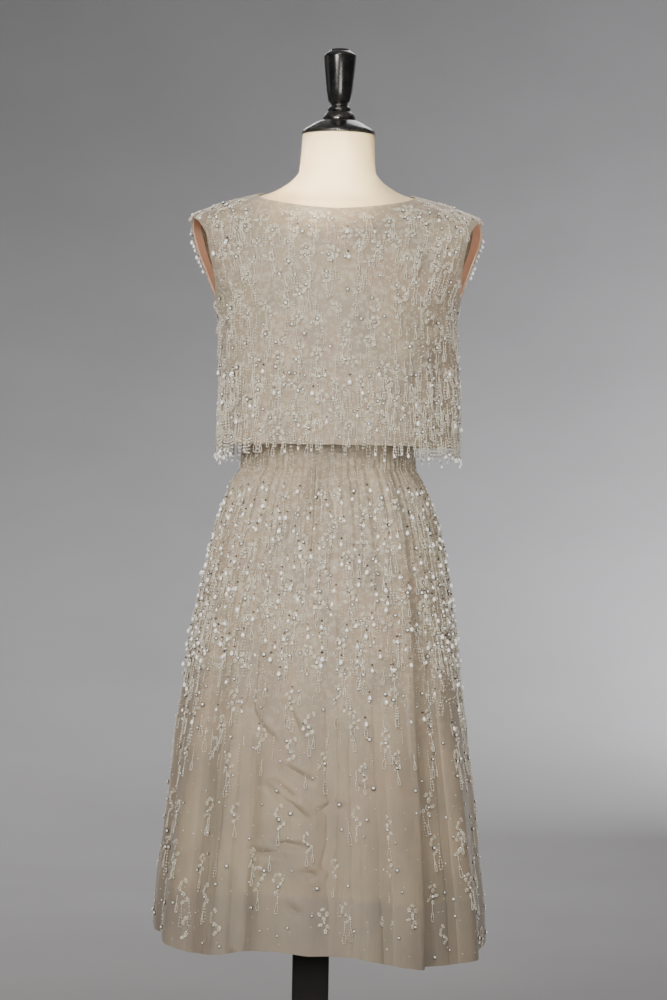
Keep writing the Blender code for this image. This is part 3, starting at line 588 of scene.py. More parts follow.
def sew_facing(left):
    """The peach band inside the armhole, front half and back half in one closed ring."""
    first, last = ROWS_LOW, ROWS_LOW + ROWS_FACING + ROWS_ARM + ROWS_FACING
    layers = []
    for depth in (CLOTH + GAP, CLOTH + GAP + FACING_THICK):
        front = half_panel(False, left, depth)[first:last, -EDGE_COLUMNS - 1:]
        back = half_panel(True, left, depth)[first:last, -EDGE_COLUMNS - 1:][:, ::-1]
        layers.append(np.concatenate([front, back], axis=1))
    rows, columns = layers[0].shape[:2]
    quads = [list(quad) for place, quad in enumerate(grid_faces(rows, columns))
             if place % (columns - 1) != EDGE_COLUMNS]
    points = np.concatenate([layers[0].reshape(-1, 3), layers[1].reshape(-1, 3)])
    count = rows * columns
    edges = {(a, b) for quad in quads for a, b in zip(quad, quad[1:] + quad[:1])}
    faces = quads + [[i + count for i in reversed(quad)] for quad in quads]
    faces += [[b, a, a + count, b + count] for a, b in edges if (b, a) not in edges]
    piece = new_piece("armhole_facing_left_satin" if left else "armhole_facing_right_satin", points, faces)
    shape = bmesh.new()
    shape.from_mesh(piece.data)
    bmesh.ops.remove_doubles(shape, verts=shape.verts, dist=1e-6)
    bmesh.ops.delete(shape, geom=[face for face in shape.faces if face.calc_area() < 1e-12], context="FACES")
    bmesh.ops.recalc_face_normals(shape, faces=shape.faces)
    shape.to_mesh(piece.data)
    shape.free()
    soften(piece, CLOTH_SHARP)
    return piece


def fold_height(angles, heights):
    total = np.zeros(np.broadcast(angles, heights).shape)
    for waist_angle, hem_angle, breadth, high, fade_z in FOLDS:
        down = np.clip((fade_z - heights) / (fade_z - HEM_Z), 0.0, 1.0)
        at = blend(waist_angle, hem_angle, (WAIST_SEAM_Z - heights) / (WAIST_SEAM_Z - HEM_Z))
        away = wrap(angles - at)
        total = total + high * ease(down) ** 0.8 * np.exp(-(away / breadth) ** 2)
    return total


def gather_height(angles, heights):
    """Uneven gathers under the waistband, some of which run far down and some a finger's length."""
    wrapped = wrap(angles)
    count = np.where(np.abs(wrapped) < 90.0, GATHERS_FRONT, GATHERS_BACK)
    turn = np.radians(wrapped)
    phase = count * (wrapped + 90.0) / 180.0 + 0.55 * np.sin(7 * turn + 1.0) + 0.30 * np.sin(17 * turn + 2.0)
    crest = 0.5 - 0.5 * np.cos(2 * np.pi * phase)
    run = 0.5 + 0.5 * np.sin(13 * turn + 0.4) * np.sin(29 * turn + 1.7)
    fade_z = blend(GATHER_SHORT_Z, GATHER_LONG_Z, run)
    strength = ease((heights - fade_z) / (WAIST_SEAM_Z - fade_z)) ** 0.8
    sewn = ease((WAIST_SEAM_Z - heights) / 0.014)
    return GATHER_HIGH * crest * strength * blend(GATHER_AT_SEAM, 1.0, sewn) * (0.55 + 0.45 * run)


def groove_depth(angles, heights):
    """Depth of the narrow grooves, each faded out at both ends."""
    total = np.zeros(np.broadcast(angles, heights).shape)
    for at, breadth, deep, top, foot in GROOVES:
        along = ease((top - heights) / 0.03) * ease((heights - foot) / (0.4 * (top - foot)))
        away = wrap(angles - at - GROOVE_FLARE * (WAIST_SEAM_Z - heights) * np.sin(np.radians(at)))
        total = total + deep * along * np.exp(-(away / breadth) ** 2)
    return total


def pleat_sizes(heights):
    down = (WAIST_SEAM_Z - heights) / (WAIST_SEAM_Z - HEM_Z)
    return (blend(PLEAT_ANGLE_WAIST, PLEAT_ANGLE_HEM, down), blend(PLEAT_RISE_WAIST, PLEAT_RISE_HEM, down),
            blend(PLEAT_LAP_WAIST, PLEAT_LAP_HEM, down), PLEAT_SINK_HEM * down)


def hem_drop(angles, heights):
    low = ((WAIST_SEAM_Z - heights) / (WAIST_SEAM_Z - HEM_Z)) ** 3
    at, drops = zip(*HEM_DROP)
    return low * np.interp(wrap(angles), at, drops)


def soft_ripple(angles, heights):
    """Small unevenness of hanging silk."""
    turn = np.radians(angles)
    long = 0.0009 * np.sin(23 * turn + 6 * heights) * ease((0.98 - heights) / 0.2)
    cross = 0.0006 * np.sin(9 * turn + 31 * heights) * np.sin(5 * turn - 17 * heights + 1.3)
    return long + cross


def hang_skirt(angles, heights, gathered=True):
    """Points of the plain part of the skirt, away from inside the pleat. Its lining hangs ungathered."""
    edge_angle, rise, _, sink = pleat_sizes(heights)
    wrapped = wrap(angles)
    lead = 1.0 - ease(np.abs(wrapped - edge_angle) / PLEAT_LEAD)
    raised = np.where(wrapped < edge_angle, lead * (rise - sink), -lead * sink)
    raised = raised + fold_height(wrapped, heights)
    if gathered:
        raised = raised + gather_height(wrapped, heights) + soft_ripple(wrapped, heights)
        raised = raised - groove_depth(wrapped, heights)
    points = ring(SKIRT, heights, angles) + outward(angles + 0.0 * heights) * raised[..., None]
    points[..., 2] -= hem_drop(angles, heights)
    return points


def fold_pleat(heights):
    """The cloth's way through the pleat, on a smooth curve through its path."""
    steps = np.arange(len(PLEAT_PATH))
    fine = np.linspace(0, len(PLEAT_PATH) - 1, (len(PLEAT_PATH) - 1) * PLEAT_FINE + 1)
    table = [(float(step), *row) for step, row in zip(steps, PLEAT_PATH)]
    along, sideways, out = (values[None, :] for values in through_rows(table, fine))
    heights = heights[:, None]
    edge_angle, rise, lap, sink = pleat_sizes(heights)
    width = through_rows(SKIRT, heights)[0]
    angles = edge_angle + np.degrees((sideways * rise - along * lap) / (0.95 * width))
    heights = np.broadcast_to(heights, angles.shape)
    points = ring(SKIRT, heights, angles) + outward(angles) * (rise * out - sink)[..., None]
    points[..., 2] -= hem_drop(angles, heights)
    return points


def skirt_rows():
    """Heights of the skirt's rows, close together below CREASED_TOP_Z where the short creases are."""
    low = np.linspace(HEM_Z, CREASED_TOP_Z, CREASED_ROWS, endpoint=False)
    return np.concatenate([low, np.linspace(CREASED_TOP_Z, WAIST_SEAM_Z, SKIRT_ROWS - CREASED_ROWS)])


def skirt_round(gathered):
    """The points of the whole skirt, with the columns at which its panels meet and where the pleat lies."""
    heights = skirt_rows()
    left_part = np.arange(-90.0, PLEAT_ANGLE_WAIST - PLEAT_BEFORE, FRONT_STEP)
    right_part = np.arange(PLEAT_ANGLE_WAIST + PLEAT_AFTER, 90.0, FRONT_STEP)
    back_part = 90.0 + BACK_STEP * np.arange(round(180.0 / BACK_STEP))
    pleat = fold_pleat(heights)
    plain = [hang_skirt(*np.meshgrid(part, heights), gathered) for part in (left_part, right_part, back_part)]
    parts = [plain[0], pleat, plain[1], plain[2]]
    points = np.concatenate(parts, axis=1)
    side = sum(part.shape[1] for part in parts[:3])
    return points, side, side + len(back_part) // 2, (len(left_part), len(left_part) + pleat.shape[1])


def cloth_normals(points):
    """Outward normals of a grid that closes on itself round the body."""
    across = np.roll(points, -1, axis=1) - np.roll(points, 1, axis=1)
    return unit(np.cross(across, np.gradient(points, axis=0)))


def sew_skirt():
    """Front and two backs, cut from one hanging surface, with the turned-up hem marked for its finish."""
    outer, side, centre, pleat = skirt_round(True)
    smooth = skirt_round(False)[0]
    normals = cloth_normals(outer)
    outer = outer - normals * crease_depth(outer)[..., None]
    level = np.broadcast_to(skirt_rows()[:, None], outer.shape[:2])
    step = ease((HEM_Z + TURN_UP - level) / TURN_UP_EASE)
    outer = outer + normals * (TURN_UP_THICK * step)[..., None]
    lining_normals = cloth_normals(smooth)
    lining_normals[[0, -1], :, 2] = 0.0
    inner = smooth - unit(lining_normals) * CLOTH
    total = outer.shape[1]
    seams = (0, side, centre, total)
    pieces = []
    for (panel, _, _), start, end in zip(ROUND_PANELS, seams, seams[1:]):
        columns = np.arange(start, end + 1) % total
        layers = [part_at_ends(source[:, columns].copy()) for source in (outer, inner)]
        kept_columns = every(LINING_STEP, len(columns))
        if start == 0:
            kept_columns = np.unique(np.append(kept_columns, np.arange(pleat[0] - 2, pleat[1] + 2)))
        kept = (every(LINING_STEP, SKIRT_ROWS), kept_columns)
        marks = {"turn_up": step[:, columns]}
        pieces.append(cloth_wall(f"skirt_{panel}_cloth", *layers, along_rows(layers[0]), marks, kept))
    return pieces


def band_gathers(angles, heights):
    """The skirt's gathers press through the band, less and less towards its top."""
    at_seam = gather_height(angles, np.full_like(heights, WAIST_SEAM_Z))
    up = ease((heights - WAIST_SEAM_Z) / (BAND_GATHERS_UP * (BAND_TOP_Z - WAIST_SEAM_Z)))
    return at_seam * blend(BAND_GATHERS_LOW, BAND_GATHERS_TOP, up)


def sew_waistband():
    pieces = []
    for panel, start, end in ROUND_PANELS:
        angles, heights = np.meshgrid(np.linspace(start, end, int((end - start) / BAND_STEP) + 1),
                                      np.linspace(WAIST_SEAM_Z + GAP, BAND_TOP_Z, BAND_ROWS))
        turn = np.radians(angles)
        pull = 0.0004 * np.sin(31 * turn + 90 * heights) * np.sin(11 * turn)
        face = BAND_OFF_FORM + CLOTH + BAND_LIFT + pull + band_gathers(angles, heights)
        layers = [part_at_ends(ring(FORM, heights, angles) + outward(angles) * off[..., None])
                  for off in (face, np.full_like(face, BAND_OFF_FORM))]
        pieces.append(cloth_wall(f"waistband_{panel}_cloth", *layers, along_rows(layers[0])))
    return pieces


def closed_rings(name, rings, low, high):
    """A closed smooth solid through rings of points, with a point at either end."""
    rows, columns = rings.shape[:2]
    points = np.concatenate([rings.reshape(-1, 3), [low], [high]])
    index = np.arange(rows * columns).reshape(rows, columns)
    wrapped = np.concatenate([index, index[:, :1]], axis=1)
    faces = np.stack([wrapped[:-1, :-1], wrapped[:-1, 1:], wrapped[1:, 1:], wrapped[1:, :-1]], axis=-1)
    faces = [tuple(face) for face in faces.reshape(-1, 4)]
    last = rows * columns
    faces += [(wrapped[0, c + 1], wrapped[0, c], last) for c in range(columns)]
    faces += [(wrapped[-1, c], wrapped[-1, c + 1], last + 1) for c in range(columns)]
    piece = new_piece(name, points, faces)
    point_outward(piece)
    soften(piece, TURNED_SHARP)
    return piece


def pad_torso():
    heights = np.concatenate([np.linspace(FORM_FOOT_Z, FORM_SHOULDER_Z, 30),
                              np.linspace(FORM_SHOULDER_Z + 0.004, FORM_TOP_Z, 48)])
    angles = np.linspace(0, 360, FORM_SIDES, endpoint=False)
    rings = ring(FORM, heights[:, None], angles[None, :])
    low, high = ([axis_x(height), 0.0, height] for height in (FORM_FOOT_Z, FORM_TOP_Z))
    return closed_rings("form_torso_jersey", rings, low, high)


def turn_on_lathe(name, profile):
    table = np.array(profile)
    turns = np.linspace(0, 2 * np.pi, TURNED_SIDES, endpoint=False)
    inner = table[1:-1]
    centre = axis_x(table[0, 1])
    rings = np.stack([centre + inner[:, :1] * np.cos(turns), inner[:, :1] * np.sin(turns),
                      np.broadcast_to(inner[:, 1:], (len(inner), TURNED_SIDES))], axis=-1)
    return closed_rings(name, rings, [centre, 0.0, table[0, 1]], [centre, 0.0, table[-1, 1]])


def new_finish(name):
    """A material with one shader. Returns it, its node tree and the shader."""
    finish = bpy.data.materials.new(name)
    finish.use_nodes = True
    tree = finish.node_tree
    shader = tree.nodes["Principled BSDF"]
    return finish, tree, shader


def add_node(tree, kind, settings=None, **sockets):
    node = tree.nodes.new(kind)
    for key, value in (settings or {}).items():
        setattr(node, key, value)
    for key, value in sockets.items():
        node.inputs[key.replace("_", " ")].default_value = value
    return node


def noise(tree, source, scale, detail=3.0, stretch=(1.0, 1.0, 1.0)):
    """Noise on stretched coordinates. Returns its height socket."""
    place = add_node(tree, "ShaderNodeMapping")
    place.inputs["Scale"].default_value = stretch
    tree.links.new(source, place.inputs["Vector"])
    made = add_node(tree, "ShaderNodeTexNoise", Scale=scale, Detail=detail, Roughness=0.55)
    tree.links.new(place.outputs["Vector"], made.inputs["Vector"])
    return made.outputs["Fac"]


def spread(tree, source, low, high, start, end):
    """A socket whose range low to high becomes start to end."""
    node = add_node(tree, "ShaderNodeMapRange")
    for key, value in (("From Min", low), ("From Max", high), ("To Min", start), ("To Max", end)):
        node.inputs[key].default_value = value
    tree.links.new(source, node.inputs["Value"])
    return node.outputs["Result"]


def tint(tree, share, first, second):
    """A colour between two by a share, each a colour or a socket."""
    node = add_node(tree, "ShaderNodeMix", {"data_type": "RGBA"})
    tree.links.new(share, node.inputs["Factor"])
    for key, colour in (("A", first), ("B", second)):
        socket = next(s for s in node.inputs if s.name == key and s.type == "RGBA")
        if isinstance(colour, tuple):
            socket.default_value = (*colour, 1.0)
        else:
            tree.links.new(colour, socket)
    return next(s for s in node.outputs if s.type == "RGBA")


def relief(tree, shader, heights):
    """Bumps one on another: each is a height socket, its depth in metres and its strength."""
    before = None
    for socket, depth, strength in heights:
        bump = add_node(tree, "ShaderNodeBump", Distance=depth, Strength=strength)
        tree.links.new(socket, bump.inputs["Height"])
        if before is not None:
            tree.links.new(before, bump.inputs["Normal"])
        before = bump.outputs["Normal"]
    tree.links.new(before, shader.inputs["Normal"])


def weave_threads(tree, source, pitch):
    """Crossed threads of a plain weave on the flat cut."""
    sockets = []
    for direction in ("X", "Y"):
        wave = add_node(tree, "ShaderNodeTexWave", {"wave_type": "BANDS", "bands_direction": direction},
                        Scale=0.314 / pitch, Distortion=1.2, Detail=1.0)
        wave.inputs["Detail Scale"].default_value = 2.0
        tree.links.new(source, wave.inputs["Vector"])
        sockets.append(wave.outputs["Fac"])
    return multiply(tree, *sockets)


def multiply(tree, first, second):
    both = add_node(tree, "ShaderNodeMath", {"operation": "MULTIPLY"})
    tree.links.new(first, both.inputs[0])
    tree.links.new(second, both.inputs[1])
    return both.outputs["Value"]


def height_of(tree, body):
    """The height part of a place."""
    parts = add_node(tree, "ShaderNodeSeparateXYZ")
    tree.links.new(body, parts.inputs[0])
    return parts.outputs["Z"]


# Colours of the cloth
CLOTH_LIGHT = (0.405, 0.336, 0.240)
CLOTH_DARK = (0.270, 0.217, 0.154)
CLOTH_PINK = (0.388, 0.297, 0.220)
CLOTH_GREY = (0.262, 0.230, 0.187)
CLOTH_LACE = (0.620, 0.560, 0.440)
CLOTH_TURN_UP = (0.245, 0.222, 0.195)
SHEEN_COLOUR = (0.95, 0.90, 0.85, 1.0)
# Colours of the facings, the form and its stand
SATIN_DEEP = (0.98, 0.54, 0.37)
SATIN_PALE = (0.99, 0.64, 0.47)
JERSEY_CREAM = (1.0, 0.80, 0.50)
JERSEY_RUBBED = (0.97, 0.76, 0.46)
LACQUER_BLACK = (0.006, 0.006, 0.007)
LACQUER_DUSTY = (0.014, 0.013, 0.013)
PAINT_BLACK = (0.007, 0.006, 0.005)
PAINT_SCUFFED = (0.020, 0.018, 0.016)
THREAD_PITCH = 0.0007
# Heights between which the pale lace grows upward, and its greatest share
LACE_LOW_Z = 0.62
LACE_HIGH_Z = 0.82
LACE_SHARE = 0.42


def organza_finish():
    """Silk organza over its lining: weave, long slubs, a pink undertone, pale lace and a soft sheen."""
    finish, tree, shader = new_finish("beaded_organza")
    cut = add_node(tree, "ShaderNodeUVMap", {"uv_map": "cut"}).outputs["UV"]
    body = add_node(tree, "ShaderNodeTexCoord").outputs["Object"]
    cloudy = spread(tree, noise(tree, body, 9.0), 0.35, 0.65, 0.0, 1.0)
    slubs = noise(tree, cut, 60.0, 4.0, (9.0, 0.55, 1.0))
    streaks = spread(tree, slubs, 0.32, 0.68, 0.0, 1.0)
    base = tint(tree, cloudy, CLOTH_LIGHT, CLOTH_PINK)
    high = spread(tree, height_of(tree, body), LACE_LOW_Z, LACE_HIGH_Z, 0.0, LACE_SHARE)
    lacy = multiply(tree, spread(tree, noise(tree, body, 150.0, 3.0), 0.49, 0.58, 0.0, 1.0), high)
    mottled = spread(tree, noise(tree, body, 21.0, 4.0, (1.0, 1.0, 0.6)), 0.42, 0.68, 0.0, 0.72)
    base = tint(tree, mottled, base, CLOTH_GREY)
    base = tint(tree, spread(tree, streaks, 0.0, 1.0, 0.0, 0.18), base, CLOTH_DARK)
    base = tint(tree, lacy, base, CLOTH_LACE)
    turned = add_node(tree, "ShaderNodeAttribute", {"attribute_name": "turn_up"}).outputs["Fac"]
    band = spread(tree, turned, 0.0, 1.0, 0.0, 0.42)
    base = tint(tree, band, base, CLOTH_TURN_UP)
    tree.links.new(base, shader.inputs["Base Color"])
    tree.links.new(spread(tree, slubs, 0.3, 0.7, 0.46, 0.66), shader.inputs["Roughness"])
    shader.inputs["Sheen Weight"].default_value = 0.35
    shader.inputs["Sheen Roughness"].default_value = 0.4
    shader.inputs["Sheen Tint"].default_value = SHEEN_COLOUR
    shader.inputs["Specular IOR Level"].default_value = 0.35
    crumple = noise(tree, body, 38.0, 3.0, (1.0, 1.0, 0.55))
    threads = weave_threads(tree, cut, THREAD_PITCH)
    relief(tree, shader, [(crumple, 0.0022, 0.45), (slubs, 0.0007, 0.5), (threads, 0.0002, 0.35)])
    return finish


def satin_finish():
    """Peach satin of the facings."""
    finish, tree, shader = new_finish("peach_satin")
    body = add_node(tree, "ShaderNodeTexCoord").outputs["Object"]
    shade = spread(tree, noise(tree, body, 45.0, 3.0, (1.0, 1.0, 0.3)), 0.3, 0.7, 0.0, 1.0)
    tree.links.new(tint(tree, shade, SATIN_DEEP, SATIN_PALE), shader.inputs["Base Color"])
    shader.inputs["Roughness"].default_value = 0.42
    shader.inputs["Sheen Weight"].default_value = 0.2
    relief(tree, shader, [(noise(tree, body, 120.0, 2.0, (1.0, 1.0, 0.15)), 0.0006, 0.4)])
    return finish


def jersey_finish():
    """Cream cotton jersey, a fine rib of stitches over smooth padding, a little rubbed."""
    finish, tree, shader = new_finish("cream_jersey")
    body = add_node(tree, "ShaderNodeTexCoord").outputs["Object"]
    worn = spread(tree, noise(tree, body, 14.0, 4.0), 0.35, 0.7, 0.0, 1.0)
    tree.links.new(tint(tree, worn, JERSEY_CREAM, JERSEY_RUBBED), shader.inputs["Base Color"])
    shader.inputs["Roughness"].default_value = 0.88
    shader.inputs["Sheen Weight"].default_value = 0.05
    ribs = noise(tree, body, 900.0, 1.0, (1.0, 1.0, 0.25))
    relief(tree, shader, [(noise(tree, body, 60.0, 2.0), 0.0006, 0.4), (ribs, 0.0003, 0.6)])
    return finish


def lacquer_finish():
    """Gloss black lacquer on turned wood, with faint turning lines and dust-dulled patches."""
    finish, tree, shader = new_finish("black_lacquer")
    body = add_node(tree, "ShaderNodeTexCoord").outputs["Object"]
    dull = noise(tree, body, 55.0, 4.0)
    dusty = spread(tree, dull, 0.4, 0.7, 0.0, 1.0)
    tree.links.new(tint(tree, dusty, LACQUER_BLACK, LACQUER_DUSTY), shader.inputs["Base Color"])
    tree.links.new(spread(tree, dull, 0.35, 0.7, 0.20, 0.34), shader.inputs["Roughness"])
    shader.inputs["Coat Weight"].default_value = 0.25
    shader.inputs["Coat Roughness"].default_value = 0.12
    relief(tree, shader, [(noise(tree, body, 60.0, 2.0, (0.05, 0.05, 12.0)), 0.0003, 0.25)])
    return finish


def stand_finish(name, roughness, grain):
    """Black paint, on wood whose grain shows a little or on smooth plate, scuffed in places."""
    finish, tree, shader = new_finish(name)
    body = add_node(tree, "ShaderNodeTexCoord").outputs["Object"]
    scuffs = spread(tree, noise(tree, body, 22.0, 5.0), 0.5, 0.75, 0.0, 1.0)
    tree.links.new(tint(tree, scuffs, PAINT_BLACK, PAINT_SCUFFED), shader.inputs["Base Color"])
    tree.links.new(spread(tree, scuffs, 0.0, 1.0, roughness, roughness + 0.15), shader.inputs["Roughness"])
    relief(tree, shader, [(noise(tree, body, 80.0, 4.0, grain), 0.0005, 0.35)])
    return finish


def bead_finish(name, first, second, roughness, metallic, coat, scale, painted_glow):
    """Glass or paste of small beads in two near shades that change from bead to bead, with a painted glow for
    glints.
    """
    finish, tree, shader = new_finish(name)
    body = add_node(tree, "ShaderNodeTexCoord").outputs["Object"]
    shade = spread(tree, noise(tree, body, scale, 2.0), 0.35, 0.65, 0.0, 1.0)
    tree.links.new(tint(tree, shade, first, second), shader.inputs["Base Color"])
    shader.inputs["Roughness"].default_value = roughness
    shader.inputs["Metallic"].default_value = metallic
    shader.inputs["Coat Weight"].default_value = coat
    shader.inputs["Coat Roughness"].default_value = 0.05
    # Emission in the paler shade: glints of light painted in as a glow, strong only on the cut crystal
    shader.inputs["Emission Color"].default_value = (*second, 1.0)
    shader.inputs["Emission Strength"].default_value = painted_glow
    return finish


def sewn(piece, finish, slot_name, *nodes):
    """Gives a finished piece its material and its place on the frame; its slot name is not used."""
    piece.data.materials.clear()
    piece.data.materials.append(finish)
    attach(piece, "root")
    if nodes:
        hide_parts(*nodes)


def dress_all():
    organza, satin = organza_finish(), satin_finish()
    panels = [sew_bodice_front(), sew_bodice_back(True), sew_bodice_back(False)]
    facings = [sew_facing(True), sew_facing(False)]
    panels += [*sew_waistband(), *sew_skirt()]
    for piece in panels:
        sewn(piece, organza, "dress_cloth", piece.name.removesuffix("_cloth"))
    for piece in facings:
        sewn(piece, satin, "facing_satin", piece.name.removesuffix("_satin"))
    jersey = jersey_finish()
    sewn(pad_torso(), jersey, "form_jersey", "form_torso")
    lacquer = lacquer_finish()
    sewn(turn_on_lathe("neck_cap_turned", NECK_CAP), lacquer, "turned_black", "neck_cap")
    sewn(turn_on_lathe("neck_handle_turned", NECK_HANDLE), lacquer, "turned_black", "neck_handle")
    for node, finish in (("post", stand_finish("black_post", 0.5, (1.0, 1.0, 0.06))),
                         ("foot", stand_finish("black_plate", 0.45, (1.0, 1.0, 1.0)))):
        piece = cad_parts[node]
        for place in piece.material_slots:
            place.material = finish


# Beadwork. Every shape hangs or lies with +Z up along the cloth and -Y away from it.
# Radius of a seed bead, and a rice bead's half length in radii
SEED = 0.00092
RICE_LONG = 2.1
# A loop's stem and its teardrop, and how far above the hem a loop has to start
STEM_LONG = 0.0110
STEM_BEADS = 3
LOOP_LONG = 0.0200
LOOP_WIDE = 0.0027
LOOP_BEADS = 11
LOOP_ROOM = 0.042
# A strand of rice beads
STRAND_BEADS = 6
STRAND_LONG = 0.0200
# A petal, with the beads on its rim
LOBE_LONG = 0.0078
LOBE_WIDE = 0.0050
RIM_BEADS = 5
RIM_SEED = 0.00102
PETAL_HIGH = 0.0009
# Stones in their cups, and drops
STONE_RADIUS = 0.0016
SETTING_RADIUS = 0.0023
DROP_RADIUS = 0.0023
DROP_LONG = 0.0052
# Where the dark cap and the bead above a drop lie, from its place on the cloth
DROP_CAP = (0.0, -0.0012, -0.0004)
DROP_LINK = (0.0, -0.0020, -0.0040)
CAP_RADIUS = 0.0016
LINK_RADIUS = 0.0009
# How far below its place a drop starts and how far it stands off the cloth
DROP_START = 0.0056
DROP_OUT = 0.0028
# Least and most size of flowers and stones, and the turn of low and tall flowers in degrees
FLOWER_SIZES = (0.76, 1.10)
STONE_SIZES = (0.80, 1.36)
LOW_SPIN = 50
TALL_SPIN = 14
# How a hanging string is varied: its swing in degrees, its least and its most size
LOOP_HANG = (3, 0.62, 1.12)
STRAND_HANG = (2, 0.5, 1.2)
# How far sewn pieces stand off the cloth, and about how far a degree reaches round the body
SEAT = 0.0005
METRES_PER_DEGREE = 0.0032
# What the beadwork keeps clear of: hem and band edge in metres, pleat and seams in degrees
HEM_CLEAR = 0.010
BAND_CLEAR = 0.014
PLEAT_CLEAR_BEFORE = 1.2
PLEAT_CLEAR_AFTER = 5.0
SEAM_CLEAR = 1.0
# Stones under the neckline, by angle, and crystals along the armholes, by height
NECK_STONES_TO = 59.0
NECK_STONE_STEP = 6.4
NECK_STONE_DOWN = 0.019
ARMHOLE_CRYSTALS = (1.296, 1.345, 8)
FRINGE_PITCH = 0.0056
FRINGE_LONG = 0.0200
FRINGE_WIDE = 0.0016
FRINGE_BEADS = 9
FRINGE_SIZES = [0.70, 0.90, 1.05]
FRINGE_MORE_AT_SIDES = 0.22
# How far a loop of the fringe is shifted in degrees, starts above the hem and swings aside
FRINGE_SHIFT = 0.9
FRINGE_STARTS = (0.0015, 0.0125)
FRINGE_SWING = 0.0013
# Share of the fringe's loops that end in a drop, in front and at the sides, and the drop's dark cap
FRINGE_DROPS = (0.35, 0.8)
FRINGE_CAP_OUT = 0.0024
FRINGE_CAP_DOWN = 0.0030
FRINGE_CAP_RADIUS = 0.0012
# Panels of the fringe: the end of its name, its first and its last angle
FRINGE_PANELS = [("front", -89.5, 89.5), ("back_right", 90.5, 178.5), ("back_left", 181.5, 269.5)]
STITCH_INSET = 0.0055
STITCH_THICK = 0.00045

# Bead finishes: two near shades, roughness, metallic, coat, scale of the change from bead to bead, painted
# glow
BEAD_FINISHES = {
    "cream_seed_beads": ((0.74, 0.68, 0.56), (0.92, 0.87, 0.76), 0.32, 0.0, 0.2, 260.0, 0.0),
    "petal_beads": ((0.46, 0.412, 0.318), (0.76, 0.705, 0.58), 0.45, 0.0, 0.05, 420.0, 0.0),
    "dark_bead": ((0.030, 0.025, 0.020), (0.12, 0.10, 0.08), 0.30, 0.3, 0.0, 160.0, 0.0),
    # The cut crystal glows a little: its glints of light are painted in
    "cut_crystal": ((1.0, 0.99, 0.96), (0.95, 0.93, 0.89), 0.10, 0.10, 1.0, 260.0, 0.36),
    "tarnished_cup": ((0.08, 0.068, 0.054), (0.22, 0.19, 0.155), 0.35, 0.5, 0.0, 160.0, 0.0),
    "silk_thread": ((0.36, 0.31, 0.24), (0.42, 0.36, 0.29), 0.6, 0.0, 0.0, 160.0, 0.0),
}

# Below this height the flowers of a band are tall sprays
TALL_BELOW_Z = 0.70
# Bands of beadwork: lowest height, highest height, distance from one to the next
FLOWER_BANDS = {
    "bodice": [(1.070, 1.150, 0.0255), (1.160, 1.290, 0.0310), (1.297, 1.394, 0.0225)],
    "skirt": [(0.400, 0.600, 0.060), (0.625, 0.730, 0.047), (0.755, 0.980, 0.0315)],
}
LOOP_BANDS = {
    "bodice": [(1.088, 1.160, 0.0230), (1.165, 1.300, 0.056), (1.305, 1.375, 0.060)],
    "skirt": [(0.430, 0.600, 0.100), (0.625, 0.780, 0.052), (0.785, 0.990, 0.070)],
}
STRAND_BANDS = {
    "bodice": [(1.075, 1.160, 0.0170), (1.165, 1.380, 0.0260)],
    "skirt": [(0.640, 0.760, 0.0300), (0.765, 1.044, 0.0175)],
}
SINGLE_BANDS = {
    "bodice": [(1.055, 1.392, 0.0088)],
    "skirt": [(0.390, 0.700, 0.026), (0.705, 1.044, 0.0096)],
}
STONE_BANDS = {
    "bodice": [(1.058, 1.150, 0.026), (1.155, 1.300, 0.036), (1.305, 1.392, 0.026)],
    "skirt": [(0.390, 0.690, 0.040), (0.700, 1.005, 0.030)],
}
DROP_BANDS = {
    "bodice": [(1.085, 1.150, 0.036), (1.320, 1.372, 0.040)],
    "skirt": [(0.690, 0.760, 0.040), (0.765, 1.000, 0.0200)],
}
# Loops under a flower: share of the flowers that have one, how far aside and how far down it starts
FLOWER_LOOPS = [(0.90, 0.0, 0.011), (0.30, 0.0062, 0.006), (0.15, -0.0068, 0.004)]


def one_bead(name):
    """A small eight-sided bead of unit radius, a little flatter along its thread."""
    points = [(1, 0, 0), (0, 1, 0), (-1, 0, 0), (0, -1, 0), (0, 0, 0.85), (0, 0, -0.85)]
    faces = [(0, 1, 4), (1, 2, 4), (2, 3, 4), (3, 0, 4), (1, 0, 5), (2, 1, 5), (3, 2, 5), (0, 3, 5)]
    bead = new_piece(name, points, faces)
    bead.data.shade_smooth()
    return bead


def rice_bead(name):
    """A long thin bead that lies along +Z, of unit radius."""
    bead = one_bead(name)
    for point in bead.data.vertices:
        point.co.z *= RICE_LONG / 0.85
    return bead


def along_string(places, count):
    """Turns that lay a rice bead along its string, for strings of so many beads one after another."""
    ahead = unit(np.gradient(places.reshape(-1, count, 3), axis=1)).reshape(-1, 3)
    return np.stack([np.zeros(len(ahead)), np.arccos(np.clip(ahead[:, 2], -1, 1)),
                     np.arctan2(ahead[:, 1], ahead[:, 0])], axis=-1)


def teardrop(long, wide, count, stand_off=0.0022):
    """Places along a hanging loop, narrow at the top and round at the foot, evenly spaced."""
    fine = np.linspace(0, 2 * np.pi, 400)
    fall = (1 - np.cos(fine)) / 2
    aside = wide * np.sin(fine) * fall ** 0.8 * 1.25
    path = np.stack([aside, -stand_off * (0.5 + 0.5 * fall), -long * fall], axis=-1)
    steps = np.concatenate([[0], np.cumsum(np.linalg.norm(np.diff(path, axis=0), axis=1))])
    at = np.linspace(0, steps[-1], count, endpoint=False)
    return np.stack([np.interp(at, steps, path[:, axis]) for axis in range(3)], axis=-1)


def lobe(x, z, bearing):
    """Places of the beads on the rim of one petal."""
    turns = np.linspace(0, 2 * np.pi, RIM_BEADS, endpoint=False)
    flat_x, flat_z = 0.40 * LOBE_WIDE * np.sin(turns), 0.40 * LOBE_LONG * np.cos(turns)
    turn = math.radians(bearing)
    return np.stack([x + flat_x * math.cos(turn) + flat_z * math.sin(turn), np.full(RIM_BEADS, -PETAL_HIGH),
                     z - flat_x * math.sin(turn) + flat_z * math.cos(turn)], axis=-1)


